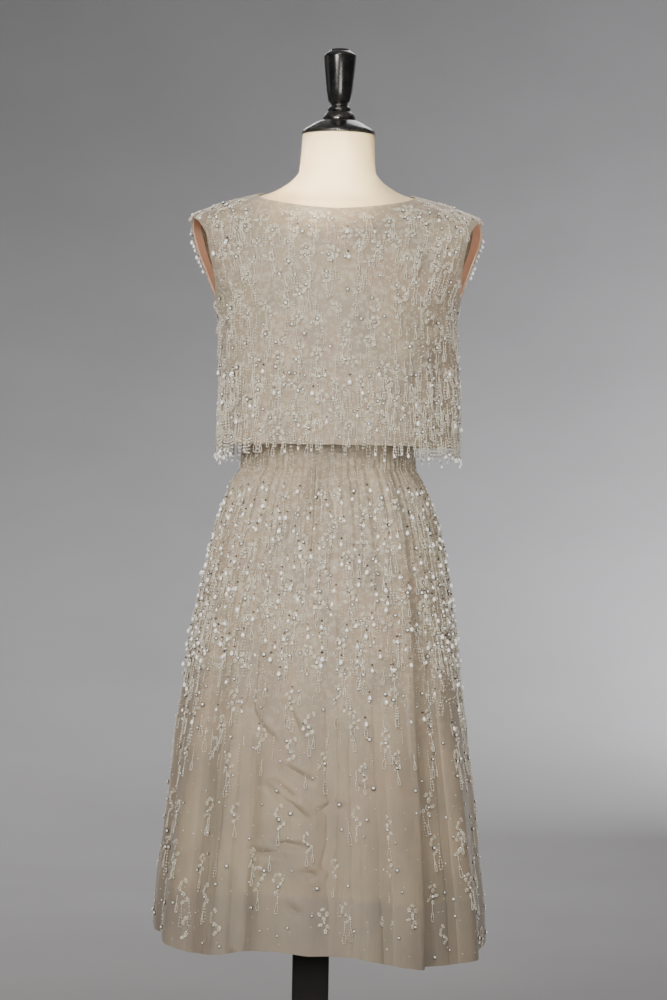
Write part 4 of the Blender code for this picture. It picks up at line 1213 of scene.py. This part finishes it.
# Flowers as maker's plans: place and bearing of each petal, in millimetres and degrees
FLOWERS = {
    "clover": [(0, 6, 0), (6, 1, 80), (-6, 1, -80), (0, -5, 0)],
    "curl": [(-5, 8, -35), (1, 5, 20), (5, -1, -15), (1, -7, 40), (-5, -6, 80)],
    "arch": [(-6, -2, 10), (-4, 5, 40), (3, 7, -60), (7, 0, -10), (2, -6, 30)],
    "spray": [(-6, 6, -45), (5, 7, 40), (0, -3, 0)],
}
TALL_FLOWERS = {
    "hook": [(-6, 10, -20), (-3, 17, 35), (4, 18, -60), (8, 11, -10), (4, 4, 35), (0, -3, 10), (-4, -9, 60)],
    "double": [(0, 18, 80), (-5, 12, -10), (5, 11, 15), (0, 5, 0), (-6, -2, 70), (4, -5, -50), (0, -11, 10)],
    "wave": [(3, 18, -30), (-3, 13, 20), (-5, 6, -20), (1, 1, -50), (6, -5, 0), (1, -10, 50)],
    "pair": [(-5, 15, 40), (3, 17, -30), (0, 9, 10), (7, 2, 70), (-2, -1, -20), (-7, -6, 30), (2, -9, -20)],
}


def flower_plan(plan):
    return np.concatenate([lobe(x / 1000, z / 1000, turn) for x, z, turn in plan])


def tube_faces(rings, sides):
    """Faces between rings of points that close on themselves."""
    index = np.arange(rings * sides).reshape(rings, sides)
    after = np.roll(index, -1, axis=1)
    return np.stack([index[:-1], after[:-1], after[1:], index[1:]], axis=-1).reshape(-1, 4).tolist()


def turned_shape(name, rings, sides, foot=None):
    """A round closed shape about the Y axis from rings of radius and stand-off, flat or pointed in front."""
    turns = np.linspace(0, 2 * np.pi, sides, endpoint=False)
    points = [(r * math.cos(t), -out, r * math.sin(t)) for r, out in rings for t in turns]
    faces = tube_faces(len(rings), sides)
    last = len(points)
    if foot is None:
        faces.append(tuple(last - sides + i for i in range(sides)))
    else:
        points.append((0.0, -foot, 0.0))
        faces += [(last - sides + i, last - sides + (i + 1) % sides, last) for i in range(sides)]
    faces.append(tuple(reversed(range(sides))))
    shape = new_piece(name, points, faces)
    point_outward(shape)
    return shape


def ring_petal(name):
    """A flat petal, long along +Z, with a raised rim round a sunk middle."""
    petal = turned_shape(name, ((1.0, 0.0), (0.78, PETAL_HIGH)), 8, 0.25 * PETAL_HIGH)
    for point in petal.data.vertices:
        point.co.x *= LOBE_WIDE / 2
        point.co.z *= LOBE_LONG / 2
    petal.data.shade_smooth()
    return petal


def cut_stone(name):
    """A domed paste stone that stands out of its cup."""
    stone = turned_shape(name, [(STONE_RADIUS, 0.0008), (STONE_RADIUS * 0.72, 0.0020)], 7, 0.0025)
    stone.data.shade_smooth()
    return stone


def cup_setting(name):
    """The dark metal cup that holds a stone."""
    return turned_shape(name, [(SETTING_RADIUS * 0.85, -0.0003), (SETTING_RADIUS, 0.0011),
                               (SETTING_RADIUS * 0.80, 0.0013)], 8)


def cut_drop(name):
    """A round-bellied drop that hangs clear of the cloth."""
    sides = 6
    rings = [(0.0009, 0.0), (DROP_RADIUS * 0.86, 0.34), (DROP_RADIUS, 0.60), (DROP_RADIUS * 0.62, 0.90)]
    top = -DROP_START
    points = [(r * math.cos(t), -DROP_OUT - r * math.sin(t) * 0.85, top - share * DROP_LONG)
              for r, share in rings for t in np.linspace(0, 2 * np.pi, sides, endpoint=False)]
    points += [(0, -DROP_OUT, top + 0.0003), (0, -DROP_OUT, top - DROP_LONG)]
    faces = tube_faces(len(rings), sides)
    last = len(rings) * sides
    faces += [((i + 1) % sides, i, last) for i in range(sides)]
    faces += [(last - sides + i, last - sides + (i + 1) % sides, last + 1) for i in range(sides)]
    shape = new_piece(name, points, faces)
    point_outward(shape)
    shape.data.shade_smooth()
    return shape


def live(sockets):
    """The socket in use of a node whose sockets depend on its data type."""
    return next(socket for socket in sockets if socket.enabled)


def sewing_tree():
    """The node tree that sews one shape on at every point, turned and sized as the point says."""
    tree = bpy.data.node_groups.new("sew_on_shapes", "GeometryNodeTree")
    face = tree.interface
    face.new_socket("Geometry", in_out="INPUT", socket_type="NodeSocketGeometry")
    for label, kind in (("Shape", "Object"), ("Size", "Float"), ("Unevenness", "Float"), ("Seed", "Int"),
                        ("Finish", "Material")):
        face.new_socket(label, in_out="INPUT", socket_type="NodeSocket" + kind)
    face.new_socket("Geometry", in_out="OUTPUT", socket_type="NodeSocketGeometry")
    given, made = tree.nodes.new("NodeGroupInput"), tree.nodes.new("NodeGroupOutput")
    shape = tree.nodes.new("GeometryNodeObjectInfo")
    turn = add_node(tree, "GeometryNodeInputNamedAttribute", {"data_type": "FLOAT_VECTOR"}, Name="turn")
    size = add_node(tree, "GeometryNodeInputNamedAttribute", {"data_type": "FLOAT"}, Name="size")
    uneven = add_node(tree, "FunctionNodeRandomValue", {"data_type": "FLOAT"})
    least = add_node(tree, "ShaderNodeMath", {"operation": "SUBTRACT"})
    most = add_node(tree, "ShaderNodeMath", {"operation": "ADD"})
    scale = add_node(tree, "ShaderNodeMath", {"operation": "MULTIPLY"})
    whole = add_node(tree, "ShaderNodeMath", {"operation": "MULTIPLY"})
    place = tree.nodes.new("GeometryNodeInstanceOnPoints")
    real = tree.nodes.new("GeometryNodeRealizeInstances")
    finish = tree.nodes.new("GeometryNodeSetMaterial")
    join = tree.links.new
    least.inputs[0].default_value = 1.0
    most.inputs[0].default_value = 1.0
    join(given.outputs["Unevenness"], least.inputs[1])
    join(given.outputs["Unevenness"], most.inputs[1])
    numbers = [socket for socket in uneven.inputs if socket.type == "VALUE" and socket.enabled]
    join(least.outputs[0], numbers[0])
    join(most.outputs[0], numbers[1])
    join(given.outputs["Seed"], uneven.inputs["Seed"])
    join(live(size.outputs), scale.inputs[0])
    join(given.outputs["Size"], scale.inputs[1])
    join(scale.outputs[0], whole.inputs[0])
    join(live(uneven.outputs), whole.inputs[1])
    join(given.outputs["Shape"], shape.inputs["Object"])
    join(given.outputs["Geometry"], place.inputs["Points"])
    join(shape.outputs["Geometry"], place.inputs["Instance"])
    join(live(turn.outputs), place.inputs["Rotation"])
    join(whole.outputs[0], place.inputs["Scale"])
    join(place.outputs["Instances"], real.inputs["Geometry"])
    join(real.outputs["Geometry"], finish.inputs["Geometry"])
    join(given.outputs["Finish"], finish.inputs["Material"])
    join(finish.outputs["Geometry"], made.inputs["Geometry"])
    return tree


def sew_on(kit, name, spots, shape, finish, seed, size=1.0, uneven=0.12):
    tree, shapes, finishes = kit
    shape, finish = shapes[shape], finishes[finish]
    places, turns, sizes = spots
    holder = new_piece(name + "_spots", places, [])
    marks = holder.data.attributes
    turned = turns.astype(np.float32).reshape(-1)
    marks.new("turn", "FLOAT_VECTOR", "POINT").data.foreach_set("vector", turned)
    marks.new("size", "FLOAT", "POINT").data.foreach_set("value", sizes.astype(np.float32))
    step = holder.modifiers.new("sew_on", "NODES")
    step.node_group = tree
    given = {"Shape": shape, "Size": size, "Unevenness": uneven, "Seed": seed, "Finish": finish}
    for socket in tree.interface.items_tree:
        if socket.in_out == "INPUT" and socket.name in given:
            step[socket.identifier] = given[socket.name]
    bpy.context.view_layer.update()
    whole = bpy.data.meshes.new_from_object(holder.evaluated_get(bpy.context.evaluated_depsgraph_get()))
    whole.name = name
    whole.materials.clear()
    whole.materials.append(finish)
    whole.polygons.foreach_set("material_index", np.zeros(len(whole.polygons), dtype=np.int32))
    bpy.data.objects.remove(holder, do_unlink=True)
    return whole


def join_meshes(name, meshes):
    """One object from several plain meshes, each with its own finish."""
    shape = bmesh.new()
    finishes = []
    for mesh in meshes:
        finish = mesh.materials[0]
        if finish not in finishes:
            finishes.append(finish)
        start = len(shape.faces)
        shape.from_mesh(mesh)
        shape.faces.ensure_lookup_table()
        for face in shape.faces[start:]:
            face.material_index = finishes.index(finish)
    whole = bpy.data.meshes.new(name)
    shape.to_mesh(whole)
    shape.free()
    for finish in finishes:
        whole.materials.append(finish)
    piece = bpy.data.objects.new(name, whole)
    bpy.context.collection.objects.link(piece)
    return piece


def joined(groups):
    """Tuples of arrays laid end to end, column by column."""
    return tuple(np.concatenate(column) for column in zip(*groups))


def girth(table, height):
    """Length of a table's level section at a height."""
    width, front, back, _ = through_rows(table, height)
    return math.pi * (width + (front + back) / 2)


def spread_places(low, high, pitch, table, seed):
    """Loosely even places round the body between two heights, as angle and height."""
    dice = np.random.default_rng(seed)
    angles, heights = [], []
    for row, height in enumerate(np.arange(low, high, 0.87 * pitch)):
        count = max(6, round(girth(table, height) / pitch))
        shift = dice.uniform(-0.36, 0.36, (2, count))
        angles.append((np.arange(count) + 0.5 * (row % 2) + shift[0]) * 360.0 / count - 180.0)
        heights.append(height + shift[1] * pitch)
    return np.concatenate(angles), np.concatenate(heights)


def on_skirt(angles, heights):
    """Keeps the places that lie on the skirt, clear of the inside of the pleat and of the seams."""
    edge = pleat_sizes(heights)[0]
    keep = (heights > HEM_Z + HEM_CLEAR) & (heights < BAND_TOP_Z - BAND_CLEAR)
    keep &= ~((angles > edge - PLEAT_CLEAR_BEFORE) & (angles < edge + PLEAT_CLEAR_AFTER))
    keep &= (np.abs(np.abs(angles) - 90.0) > SEAM_CLEAR) & (np.abs(angles) < 180.0 - SEAM_CLEAR)
    return angles[keep], heights[keep]


def on_bodice(angles, heights, margin=0.006):
    """Keeps the places that lie on the overbodice, clear of its neckline, armholes and seams."""
    wrapped = wrap(angles)
    back = np.abs(wrapped) > 90.0
    from_centre = np.where(back, 180.0 - np.abs(wrapped), np.abs(wrapped))
    reach = np.where(back, armhole_oval(heights, True, margin), armhole_oval(heights, False, margin))
    limit = np.where(back, angle_at(heights, True, reach), angle_at(heights, False, reach))
    keep = (heights > OVERBODICE_HEM_Z + 0.005) & (heights < neck_top(wrapped) - margin)
    keep &= (from_centre < np.minimum(limit, 88.5)) & ~(back & (from_centre < 1.5))
    return wrapped[keep], heights[keep]


def skirt_or_band(angles, heights):
    """Points of the skirt's face and, above its seam, of the waistband's."""
    skirt = hang_skirt(angles, np.minimum(heights, WAIST_SEAM_Z))
    off = BAND_OFF_FORM + CLOTH + BAND_LIFT + band_gathers(angles, heights)
    band = ring(FORM, heights, angles) + outward(angles + 0.0 * heights) * off[..., None]
    return blend(skirt, band, ease((heights - WAIST_SEAM_Z + 0.0015) / 0.003)[..., None])


def skirt_seat(angles, heights):
    """Places and outward normals on the skirt and waistband."""
    angles, heights = np.asarray(angles, float), np.asarray(heights, float)
    across = skirt_or_band(angles + 0.25, heights) - skirt_or_band(angles - 0.25, heights)
    up = skirt_or_band(angles, heights + 0.002) - skirt_or_band(angles, heights - 0.002)
    places, normals = skirt_or_band(angles, heights), unit(np.cross(across, up))
    return places - normals * crease_depth(places)[..., None], normals


def bodice_seat(angles, heights):
    return bodice_point(np.asarray(angles, float), np.asarray(heights, float), 0.0)


def aim_spots(seat, spin, tilt=0.0, sizes=1.0, lift=SEAT):
    """Spots for sew_on: +Z up along the cloth, turned by a spin about its normal, its foot tilted outward."""
    places, normals = seat
    places = places + normals * lift
    up = unit(np.array([0.0, 0.0, 1.0]) - normals * normals[:, 2:])
    side = np.cross(-normals, up)
    angle = np.radians(np.broadcast_to(spin, len(places)))[:, None]
    new_up = up * np.cos(angle) + side * np.sin(angle)
    back = -normals
    lean = np.radians(np.broadcast_to(tilt, len(places)))[:, None]
    leaned_up = new_up * np.cos(lean) + back * np.sin(lean)
    leaned_back = back * np.cos(lean) - new_up * np.sin(lean)
    leaned_side = np.cross(leaned_back, leaned_up)
    axes = np.stack([leaned_side, leaned_back, leaned_up], axis=-1)
    turns = np.array([tuple(Matrix(each).to_euler()) for each in axes.tolist()])
    return places, turns, np.broadcast_to(sizes, len(places)).astype(float)


def cloth_scale(seat, angles, heights):
    """Metres to a degree and to a metre of height at places on the cloth."""
    step, rise = 0.4, 0.001
    aside = seat(angles + step, heights)[0] - seat(angles - step, heights)[0]
    upward = seat(angles, heights + rise)[0] - seat(angles, heights - rise)[0]
    across = np.linalg.norm(aside, axis=-1) / (2 * step)
    along = np.linalg.norm(upward, axis=-1) / (2 * rise)
    return np.maximum(across, 0.0004), np.maximum(along, 1.0)


def lay_plan(seat, angles, heights, plan, spins, sizes, lift=SEAT):
    """Every bead of a plan at every place, each set down on the cloth under it."""
    across, along = cloth_scale(seat, angles, heights)
    turn = np.radians(np.broadcast_to(spins, len(angles)))[:, None]
    sizes = np.broadcast_to(sizes, len(angles))[:, None]
    flat_x, flat_z = plan[None, :, 0] * sizes, plan[None, :, 2] * sizes
    x = flat_x * np.cos(turn) + flat_z * np.sin(turn)
    z = flat_z * np.cos(turn) - flat_x * np.sin(turn)
    bead_angles = angles[:, None] + x / across[:, None]
    bead_heights = heights[:, None] + z / along[:, None]
    places, normals = seat(bead_angles.reshape(-1), bead_heights.reshape(-1))
    out = np.broadcast_to(-plan[None, :, 1], x.shape).reshape(-1, 1)
    places = places + normals * (out + lift)
    return places, np.zeros_like(places), np.ones(len(places))


def away_from(angles, heights, others, gap):
    """Keeps places that stand at least a gap from others, measured on the cloth."""
    aside = np.abs(angles[:, None] - others[0][None]) * METRES_PER_DEGREE
    keep = (aside ** 2 + (heights[:, None] - others[1][None]) ** 2).min(axis=1) > gap * gap
    return angles[keep], heights[keep]


def strand_plan():
    fall = np.linspace(0, 1, STRAND_BEADS)
    return np.stack([0 * fall, -0.0006 - 0.0006 * fall, -STRAND_LONG * fall], axis=-1)


def loop_plan():
    """A stem of rice beads that ends in a teardrop loop."""
    fall = np.arange(STEM_BEADS) / STEM_BEADS
    stem = np.stack([0 * fall, -0.0006 - 0.0006 * fall, -STEM_LONG * fall], axis=-1)
    return np.concatenate([stem, teardrop(LOOP_LONG, LOOP_WIDE, LOOP_BEADS) - [0.0, 0.0, STEM_LONG]])


def petal_spots(seat, angles, heights, plan, spins, sizes):
    """Spots of every petal of a plan at every flower's place."""
    across, along = cloth_scale(seat, angles, heights)
    turn = np.radians(spins)
    found = []
    for x, z, bearing in plan:
        flat_x = sizes * (x * np.cos(turn) + z * np.sin(turn)) / 1000
        flat_z = sizes * (z * np.cos(turn) - x * np.sin(turn)) / 1000
        lying = seat(angles + flat_x / across, heights + flat_z / along)
        found.append(aim_spots(lying, spins + bearing, 0.0, sizes))
    return joined(found)


def sew_flowers(part, seat, keep, table, kit):
    """Flowers of one part of the dress. Returns their places, those of their loops, and their meshes."""
    found = []
    for number, (low, high, pitch) in enumerate(FLOWER_BANDS[part]):
        places = keep(*spread_places(low, high, pitch, table, 100 + number + 10 * len(part)))
        found.append((*places, np.full(len(places[0]), low < TALL_BELOW_Z)))
    angles, heights, tall = joined(found)
    dice = np.random.default_rng(11 + len(part))
    kinds = dice.integers(0, len(FLOWERS), len(angles)) + np.where(tall, len(FLOWERS), 0)
    count = len(angles)
    spins = np.where(tall, dice.uniform(-TALL_SPIN, TALL_SPIN, count),
                     dice.uniform(-LOW_SPIN, LOW_SPIN, count))
    sizes = dice.uniform(*FLOWER_SIZES, count)
    meshes = []
    for number, plan in enumerate([*FLOWERS.values(), *TALL_FLOWERS.values()]):
        at = kinds == number
        if at.any():
            spots = lay_plan(seat, angles[at], heights[at], flower_plan(plan), spins[at], sizes[at])
            meshes.append(sew_on(kit, "rims", spots, "bead", "cream_seed_beads", 20 + number, RIM_SEED, 0.22))
            spots = petal_spots(seat, angles[at], heights[at], plan, spins[at], sizes[at])
            meshes.append(sew_on(kit, "petals", spots, "petal", "petal_beads", 40 + number, 1.0, 0.15))
    across, along = cloth_scale(seat, angles, heights)
    loops = []
    for share, side, down in FLOWER_LOOPS:
        some = dice.random(len(angles)) < share
        aside = (side + dice.normal(0, 0.0012, len(angles))) / across
        loops.append(keep((angles + aside)[some], (heights - sizes * down / along)[some]))
    return (angles, heights), joined(loops), meshes


def scatter_part(part, keep, table, flowers):
    """Places of loops, strands, single beads, stones and drops on one part of the dress."""
    found = []
    seed = 200 + 50 * len(part)
    for bands, gap in ((LOOP_BANDS, 0.0), (STRAND_BANDS, 0.0), (SINGLE_BANDS, 0.009), (STONE_BANDS, 0.006),
                       (DROP_BANDS, 0.006)):
        groups = []
        for low, high, pitch in bands[part]:
            seed += 1
            places = keep(*spread_places(low, high, pitch, table, seed))
            groups.append(away_from(*places, flowers, gap) if gap else places)
        found.append(joined(groups))
    return found


def sew_part(part, seat, keep, table, kit):
    """The beadwork pieces of one part: flowers, loops, strands with single beads, and stones with drops."""
    flowers, flower_loops, meshes = sew_flowers(part, seat, keep, table, kit)
    pieces = [join_meshes(f"{part}_flowers", meshes)]
    loops, strands, singles, stones, drops = scatter_part(part, keep, table, flowers)
    loops = joined([loops, flower_loops])
    loops = tuple(column[loops[1] > HEM_Z + LOOP_ROOM] for column in loops)
    dice = np.random.default_rng(70 + len(part))
    hung = []
    for places, plan, (swing, *range_of_sizes) in ((loops, loop_plan(), LOOP_HANG),
                                                   (strands, strand_plan(), STRAND_HANG)):
        count = len(places[0])
        spins, sizes = dice.normal(0, swing, count), dice.uniform(*range_of_sizes, count)
        beads, _, sizes = lay_plan(seat, *places, plan, spins, sizes)
        hung.append((beads, along_string(beads, len(plan)), sizes))
    cream = "cream_seed_beads"
    pieces.append(join_meshes(f"{part}_loops", [sew_on(kit, "loops", hung[0], "rice", cream, 5, SEED, 0.10)]))
    meshes = [sew_on(kit, "strands", hung[1], "rice", cream, 6, SEED * 0.80, 0.12),
              sew_on(kit, "singles", aim_spots(seat(*singles), 0.0), "bead", cream, 7, SEED * 1.1, 0.3)]
    pieces.append(join_meshes(f"{part}_strands", meshes))
    stones = [stones, flowers]
    if part == "bodice":
        stones.append(neckline_places())
        drops = joined([drops, armhole_places()])
    stones = joined(stones)
    stone_spots = aim_spots(seat(*stones), 0.0, 0.0, dice.uniform(*STONE_SIZES, len(stones[0])))
    drop_spots = aim_spots(seat(*drops), dice.normal(0, 4, len(drops[0])), 3.0)
    caps, links = (lay_plan(seat, *drops, np.array([place]), 0.0, 1.0) for place in (DROP_CAP, DROP_LINK))
    meshes = [sew_on(kit, "stones", stone_spots, "stone", "cut_crystal", 8, 1.0, 0.18),
              sew_on(kit, "cups", stone_spots, "cup", "tarnished_cup", 8, 1.0, 0.18),
              sew_on(kit, "drops", drop_spots, "drop", "cut_crystal", 9, 1.0, 0.30),
              sew_on(kit, "caps", caps, "bead", "dark_bead", 9, CAP_RADIUS, 0.3),
              sew_on(kit, "links", links, "bead", cream, 10, LINK_RADIUS, 0.1)]
    pieces.append(join_meshes(f"{part}_stones_and_drops", meshes))
    return pieces


def neckline_places():
    """A row of stones under the neckline, in front and at the back."""
    dice = np.random.default_rng(3)
    front = np.arange(1.0 - NECK_STONES_TO, NECK_STONES_TO, NECK_STONE_STEP)
    angles = np.concatenate([front, front[np.abs(front) > 4.0] + 180.0])
    angles = angles + dice.uniform(-1.4, 1.4, len(angles))
    angles = wrap(angles)
    return angles, neck_top(angles) - NECK_STONE_DOWN + dice.uniform(-0.004, 0.003, len(angles))


def armhole_places():
    """Crystals that hang along the outer edge of either armhole."""
    heights = np.linspace(*ARMHOLE_CRYSTALS)
    edge = 180.0 - angle_at(heights, True, armhole_oval(heights, True, 0.003))
    return np.concatenate([edge, -edge]), np.concatenate([heights, heights + 0.002])


def sew_beadwork():
    """All the beadwork of the two parts of the dress, and the fringe on the overbodice's hem."""
    finishes = {name: bead_finish(name, *look) for name, look in BEAD_FINISHES.items()}
    makers = {"bead": one_bead, "rice": rice_bead, "stone": cut_stone, "cup": cup_setting, "drop": cut_drop,
              "petal": ring_petal}
    shapes = {name: maker("plan_" + name) for name, maker in makers.items()}
    kit = (sewing_tree(), shapes, finishes)
    pieces = sew_part("bodice", bodice_seat, on_bodice, BODICE, kit)
    pieces += sew_part("skirt", skirt_seat, on_skirt, SKIRT, kit)
    for piece in pieces:
        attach(piece, "root")
    string_fringe(kit)
    sew_stitches(kit)
    for plan in shapes.values():
        bpy.data.objects.remove(plan, do_unlink=True)


def fringe_angles(start, end, pitch):
    """Angles of the fringe's strands, sparse in the middle of the front and dense at the sides."""
    fine = np.linspace(start, end, 400)
    away = np.abs(wrap(fine))
    density = blend(0.50, 1.30, ease((away - 38.0) / 30.0)) * blend(1.0, 0.7, ease((away - 110.0) / 30.0))
    total = np.cumsum(density)
    count = round(girth(BODICE, OVERBODICE_HEM_Z) * (end - start) / 360.0 / pitch * density.mean())
    return np.interp(np.linspace(total[0], total[-1], count), total, fine)


def string_fringe(kit):
    """Loops of beads along the overbodice's hem, longer at the sides, with a drop at about every other."""
    up = np.array([0.0, 0.0, 1.0])
    for panel, start, end in FRINGE_PANELS:
        angles = fringe_angles(start, end, FRINGE_PITCH)
        count = len(angles)
        dice = np.random.default_rng(count)
        angles = np.clip(angles + dice.uniform(-FRINGE_SHIFT, FRINGE_SHIFT, count), start, end)
        heights = OVERBODICE_HEM_Z + dice.uniform(*FRINGE_STARTS, count)
        aside = ease((np.abs(wrap(angles)) - 45.0) / 30.0)
        sizes = dice.choice(FRINGE_SIZES, count) + FRINGE_MORE_AT_SIDES * aside
        places, normals = bodice_seat(angles, heights)
        side = unit(np.cross(up, normals))
        loop = teardrop(FRINGE_LONG, FRINGE_WIDE, FRINGE_BEADS, FRINGE_WIDE)
        swing = dice.normal(0, FRINGE_SWING, count)
        x = loop[None, :, 0] + swing[:, None] * (loop[None, :, 2] / -FRINGE_LONG)
        hung = (places[:, None] + side[:, None] * x[..., None]
                - normals[:, None] * (loop[None, :, 1:2] - SEAT)
                + up * (loop[None, :, 2:3] * sizes[:, None, None])).reshape(-1, 3)
        spots = (hung, along_string(hung, FRINGE_BEADS), np.ones(len(hung)))
        meshes = [sew_on(kit, "loops", spots, "rice", "cream_seed_beads", 31, SEED, 0.12)]
        ended = dice.random(count) < blend(*FRINGE_DROPS, aside)
        low = up * (FRINGE_LONG * sizes[ended] - 0.0050)[:, None]
        ends = (places[ended] - low + side[ended] * swing[ended][:, None], normals[ended])
        spots = aim_spots(ends, 0.0, 0.0, 0.9)
        meshes.append(sew_on(kit, "drops", spots, "drop", "cut_crystal", 32, 1.0, 0.2))
        caps = ends[0] + ends[1] * FRINGE_CAP_OUT - up * FRINGE_CAP_DOWN
        spots = (caps, 0 * caps, np.ones(len(caps)))
        meshes.append(sew_on(kit, "caps", spots, "bead", "dark_bead", 32, FRINGE_CAP_RADIUS))
        piece = join_meshes(f"hem_fringe_{panel}", meshes)
        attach(piece, "root")
        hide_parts(f"fringe_{panel}")


def sew_stitches(kit):
    """Running stitches along the neckline, round the overbodice's hem and on the skirt's turn-up."""
    lines = []
    turns = np.linspace(-88.0, 88.0, 150)
    for spread_turns in (turns, turns + 180.0):
        wrapped = wrap(spread_turns)
        kept = np.abs(np.abs(wrapped) - 180.0) > 1.0
        lines.append(bodice_seat(wrapped[kept], neck_top(wrapped[kept]) - STITCH_INSET))
        lines.append(bodice_seat(wrapped[kept], np.full(kept.sum(), OVERBODICE_HEM_Z + 2.2 * STITCH_INSET)))
    angles, _ = on_skirt(np.linspace(-179.0, 179.0, 260), np.full(260, HEM_Z + TURN_UP))
    lines.append(skirt_seat(angles, np.full(len(angles), HEM_Z + TURN_UP)))
    meshes = []
    for number, (places, normals) in enumerate(lines):
        places = places + normals * 0.0002
        spots = (places, along_string(places, len(places)), np.ones(len(places)))
        meshes.append(sew_on(kit, "stitches", spots, "rice", "silk_thread", 40 + number, STITCH_THICK, 0.15))
    piece = join_meshes("sewing_stitches", meshes)
    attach(piece, "root")


# The room: a pale floor that rises into the wall far behind, and soft lights
FLOOR_REACH = 3.0
SWEEP_RADIUS = 6.0
WALL_TOP = 8.0
FLOOR_STEPS = 18
FLOOR_SIDES = 64
FLOOR_DROP = 0.0005
PAPER_DARK = (0.365, 0.357, 0.354)
PAPER_LIGHT = (0.387, 0.379, 0.377)
ROOM_COLOUR = (1.0, 0.985, 0.965, 1.0)
ROOM_STRENGTH = 0.275

# Soft lights: place, the point aimed at, width, power in watts, colour, spread of the beam in degrees
LIGHTS = {
    "key_front_left": ((-0.85, -2.0, 1.90), (0.0, 0.0, 1.10), 0.70, 9.8, (1.0, 0.955, 0.88), 90.0),
    "front": ((0.25, -2.1, 1.10), (0.0, 0.0, 0.96), 0.8, 3.5, (1.0, 0.965, 0.90), 60.0),
    "top_front": ((-0.1, -1.3, 2.9), (0.0, 0.0, 1.45), 0.7, 9.0, (1.0, 0.965, 0.90), 180.0),
    "neck_light": ((-0.2, -1.8, 1.75), (0.0, 0.0, 1.415), 0.15, 0.22, (1.0, 0.89, 0.64), 4.2),
    "armhole_light": ((1.4, -1.7, 1.5), (0.235, 0.02, 1.31), 0.15, 0.05, (1.0, 0.96, 0.90), 8.0),
    "side_left": ((-3.0, 0.8, 1.7), (0.0, 0.0, 1.2), 1.4, 2.0, (1.0, 0.98, 0.96), 180.0),
    "top_back": ((0.6, 2.6, 3.4), (0.0, 0.0, 1.1), 1.8, 26.0, (0.97, 0.97, 1.0), 180.0),
    "floor_wash": ((-0.9, 3.6, 2.9), (-0.7, 4.1, 0.0), 2.2, 60.0, (0.98, 0.97, 1.0), 180.0),
    "wall_wash": ((2.6, 3.8, 1.6), (3.0, 8.0, 0.6), 2.0, 215.0, (0.92, 0.935, 1.0), 180.0),
}

# The photo's view: the camera's place, its lens, how far it looks down and its roll as a slope
CAMERA_PLACE = (0.020, -3.75, 1.0)
LENS_MM = 97.7
LOOK_DOWN_DEGREES = 0.38
ROLL_SLOPE = 0.018


def lay_floor():
    profile = [(0.02, 0.0), (0.5 * FLOOR_REACH, 0.0), (FLOOR_REACH, 0.0)]
    for step in range(1, FLOOR_STEPS + 1):
        turn = math.radians(90 * step / FLOOR_STEPS)
        profile.append((FLOOR_REACH + SWEEP_RADIUS * math.sin(turn), SWEEP_RADIUS * (1 - math.cos(turn))))
    profile.append((FLOOR_REACH + SWEEP_RADIUS, WALL_TOP))
    turns = np.linspace(0, 2 * np.pi, FLOOR_SIDES, endpoint=False)
    points = [(radius * math.cos(t), radius * math.sin(t), height - FLOOR_DROP)
              for radius, height in profile for t in turns]
    faces = tube_faces(len(profile), FLOOR_SIDES)
    faces.append(tuple(range(FLOOR_SIDES)))
    floor = new_piece("studio_floor", points, faces)
    floor.data.shade_smooth()
    finish, tree, shader = new_finish("pale_paper")
    body = add_node(tree, "ShaderNodeTexCoord").outputs["Object"]
    shade = spread(tree, noise(tree, body, 1.5, 3.0), 0.35, 0.65, 0.0, 1.0)
    tree.links.new(tint(tree, shade, PAPER_DARK, PAPER_LIGHT), shader.inputs["Base Color"])
    shader.inputs["Roughness"].default_value = 0.95
    shader.inputs["Specular IOR Level"].default_value = 0.1
    floor.data.materials.append(finish)


def hang_light(name, place, aim, wide, power, colour, beam):
    lamp = bpy.data.lights.new(name, "AREA")
    lamp.shape = "DISK"
    lamp.size = wide
    lamp.energy = power
    lamp.color = colour
    lamp.spread = math.radians(beam)
    item = bpy.data.objects.new(name, lamp)
    bpy.context.collection.objects.link(item)
    item.location = place
    direction = np.array(aim) - np.array(place)
    flat = math.hypot(direction[0], direction[1])
    item.rotation_euler = (math.atan2(flat, -direction[2]), 0.0, math.atan2(-direction[0], direction[1]))


def light_room():
    world = bpy.data.worlds.new("soft_room")
    world.use_nodes = True
    background = world.node_tree.nodes["Background"]
    background.inputs["Color"].default_value = ROOM_COLOUR
    background.inputs["Strength"].default_value = ROOM_STRENGTH
    bpy.context.scene.world = world
    for name, light in LIGHTS.items():
        hang_light(name, *light)


def place_camera():
    """The photo's view: level with the dress, a little low on the lens, and rolled by about a degree."""
    lens = bpy.data.cameras.new("photo_view")
    lens.sensor_fit = "VERTICAL"
    lens.sensor_height = 36.0
    lens.lens = LENS_MM
    lens.clip_end = 60.0
    camera = bpy.data.objects.new("photo_view", lens)
    bpy.context.collection.objects.link(camera)
    camera.location = CAMERA_PLACE
    tilt = math.radians(90.0 - LOOK_DOWN_DEGREES)
    roll = math.atan(ROLL_SLOPE)
    camera.matrix_world = (Matrix.Translation(camera.location) @ Matrix.Rotation(tilt, 4, "X")
                           @ Matrix.Rotation(roll, 4, "Z"))
    bpy.context.scene.camera = camera


dress_all()
sew_beadwork()
lay_floor()
light_room()
place_camera()
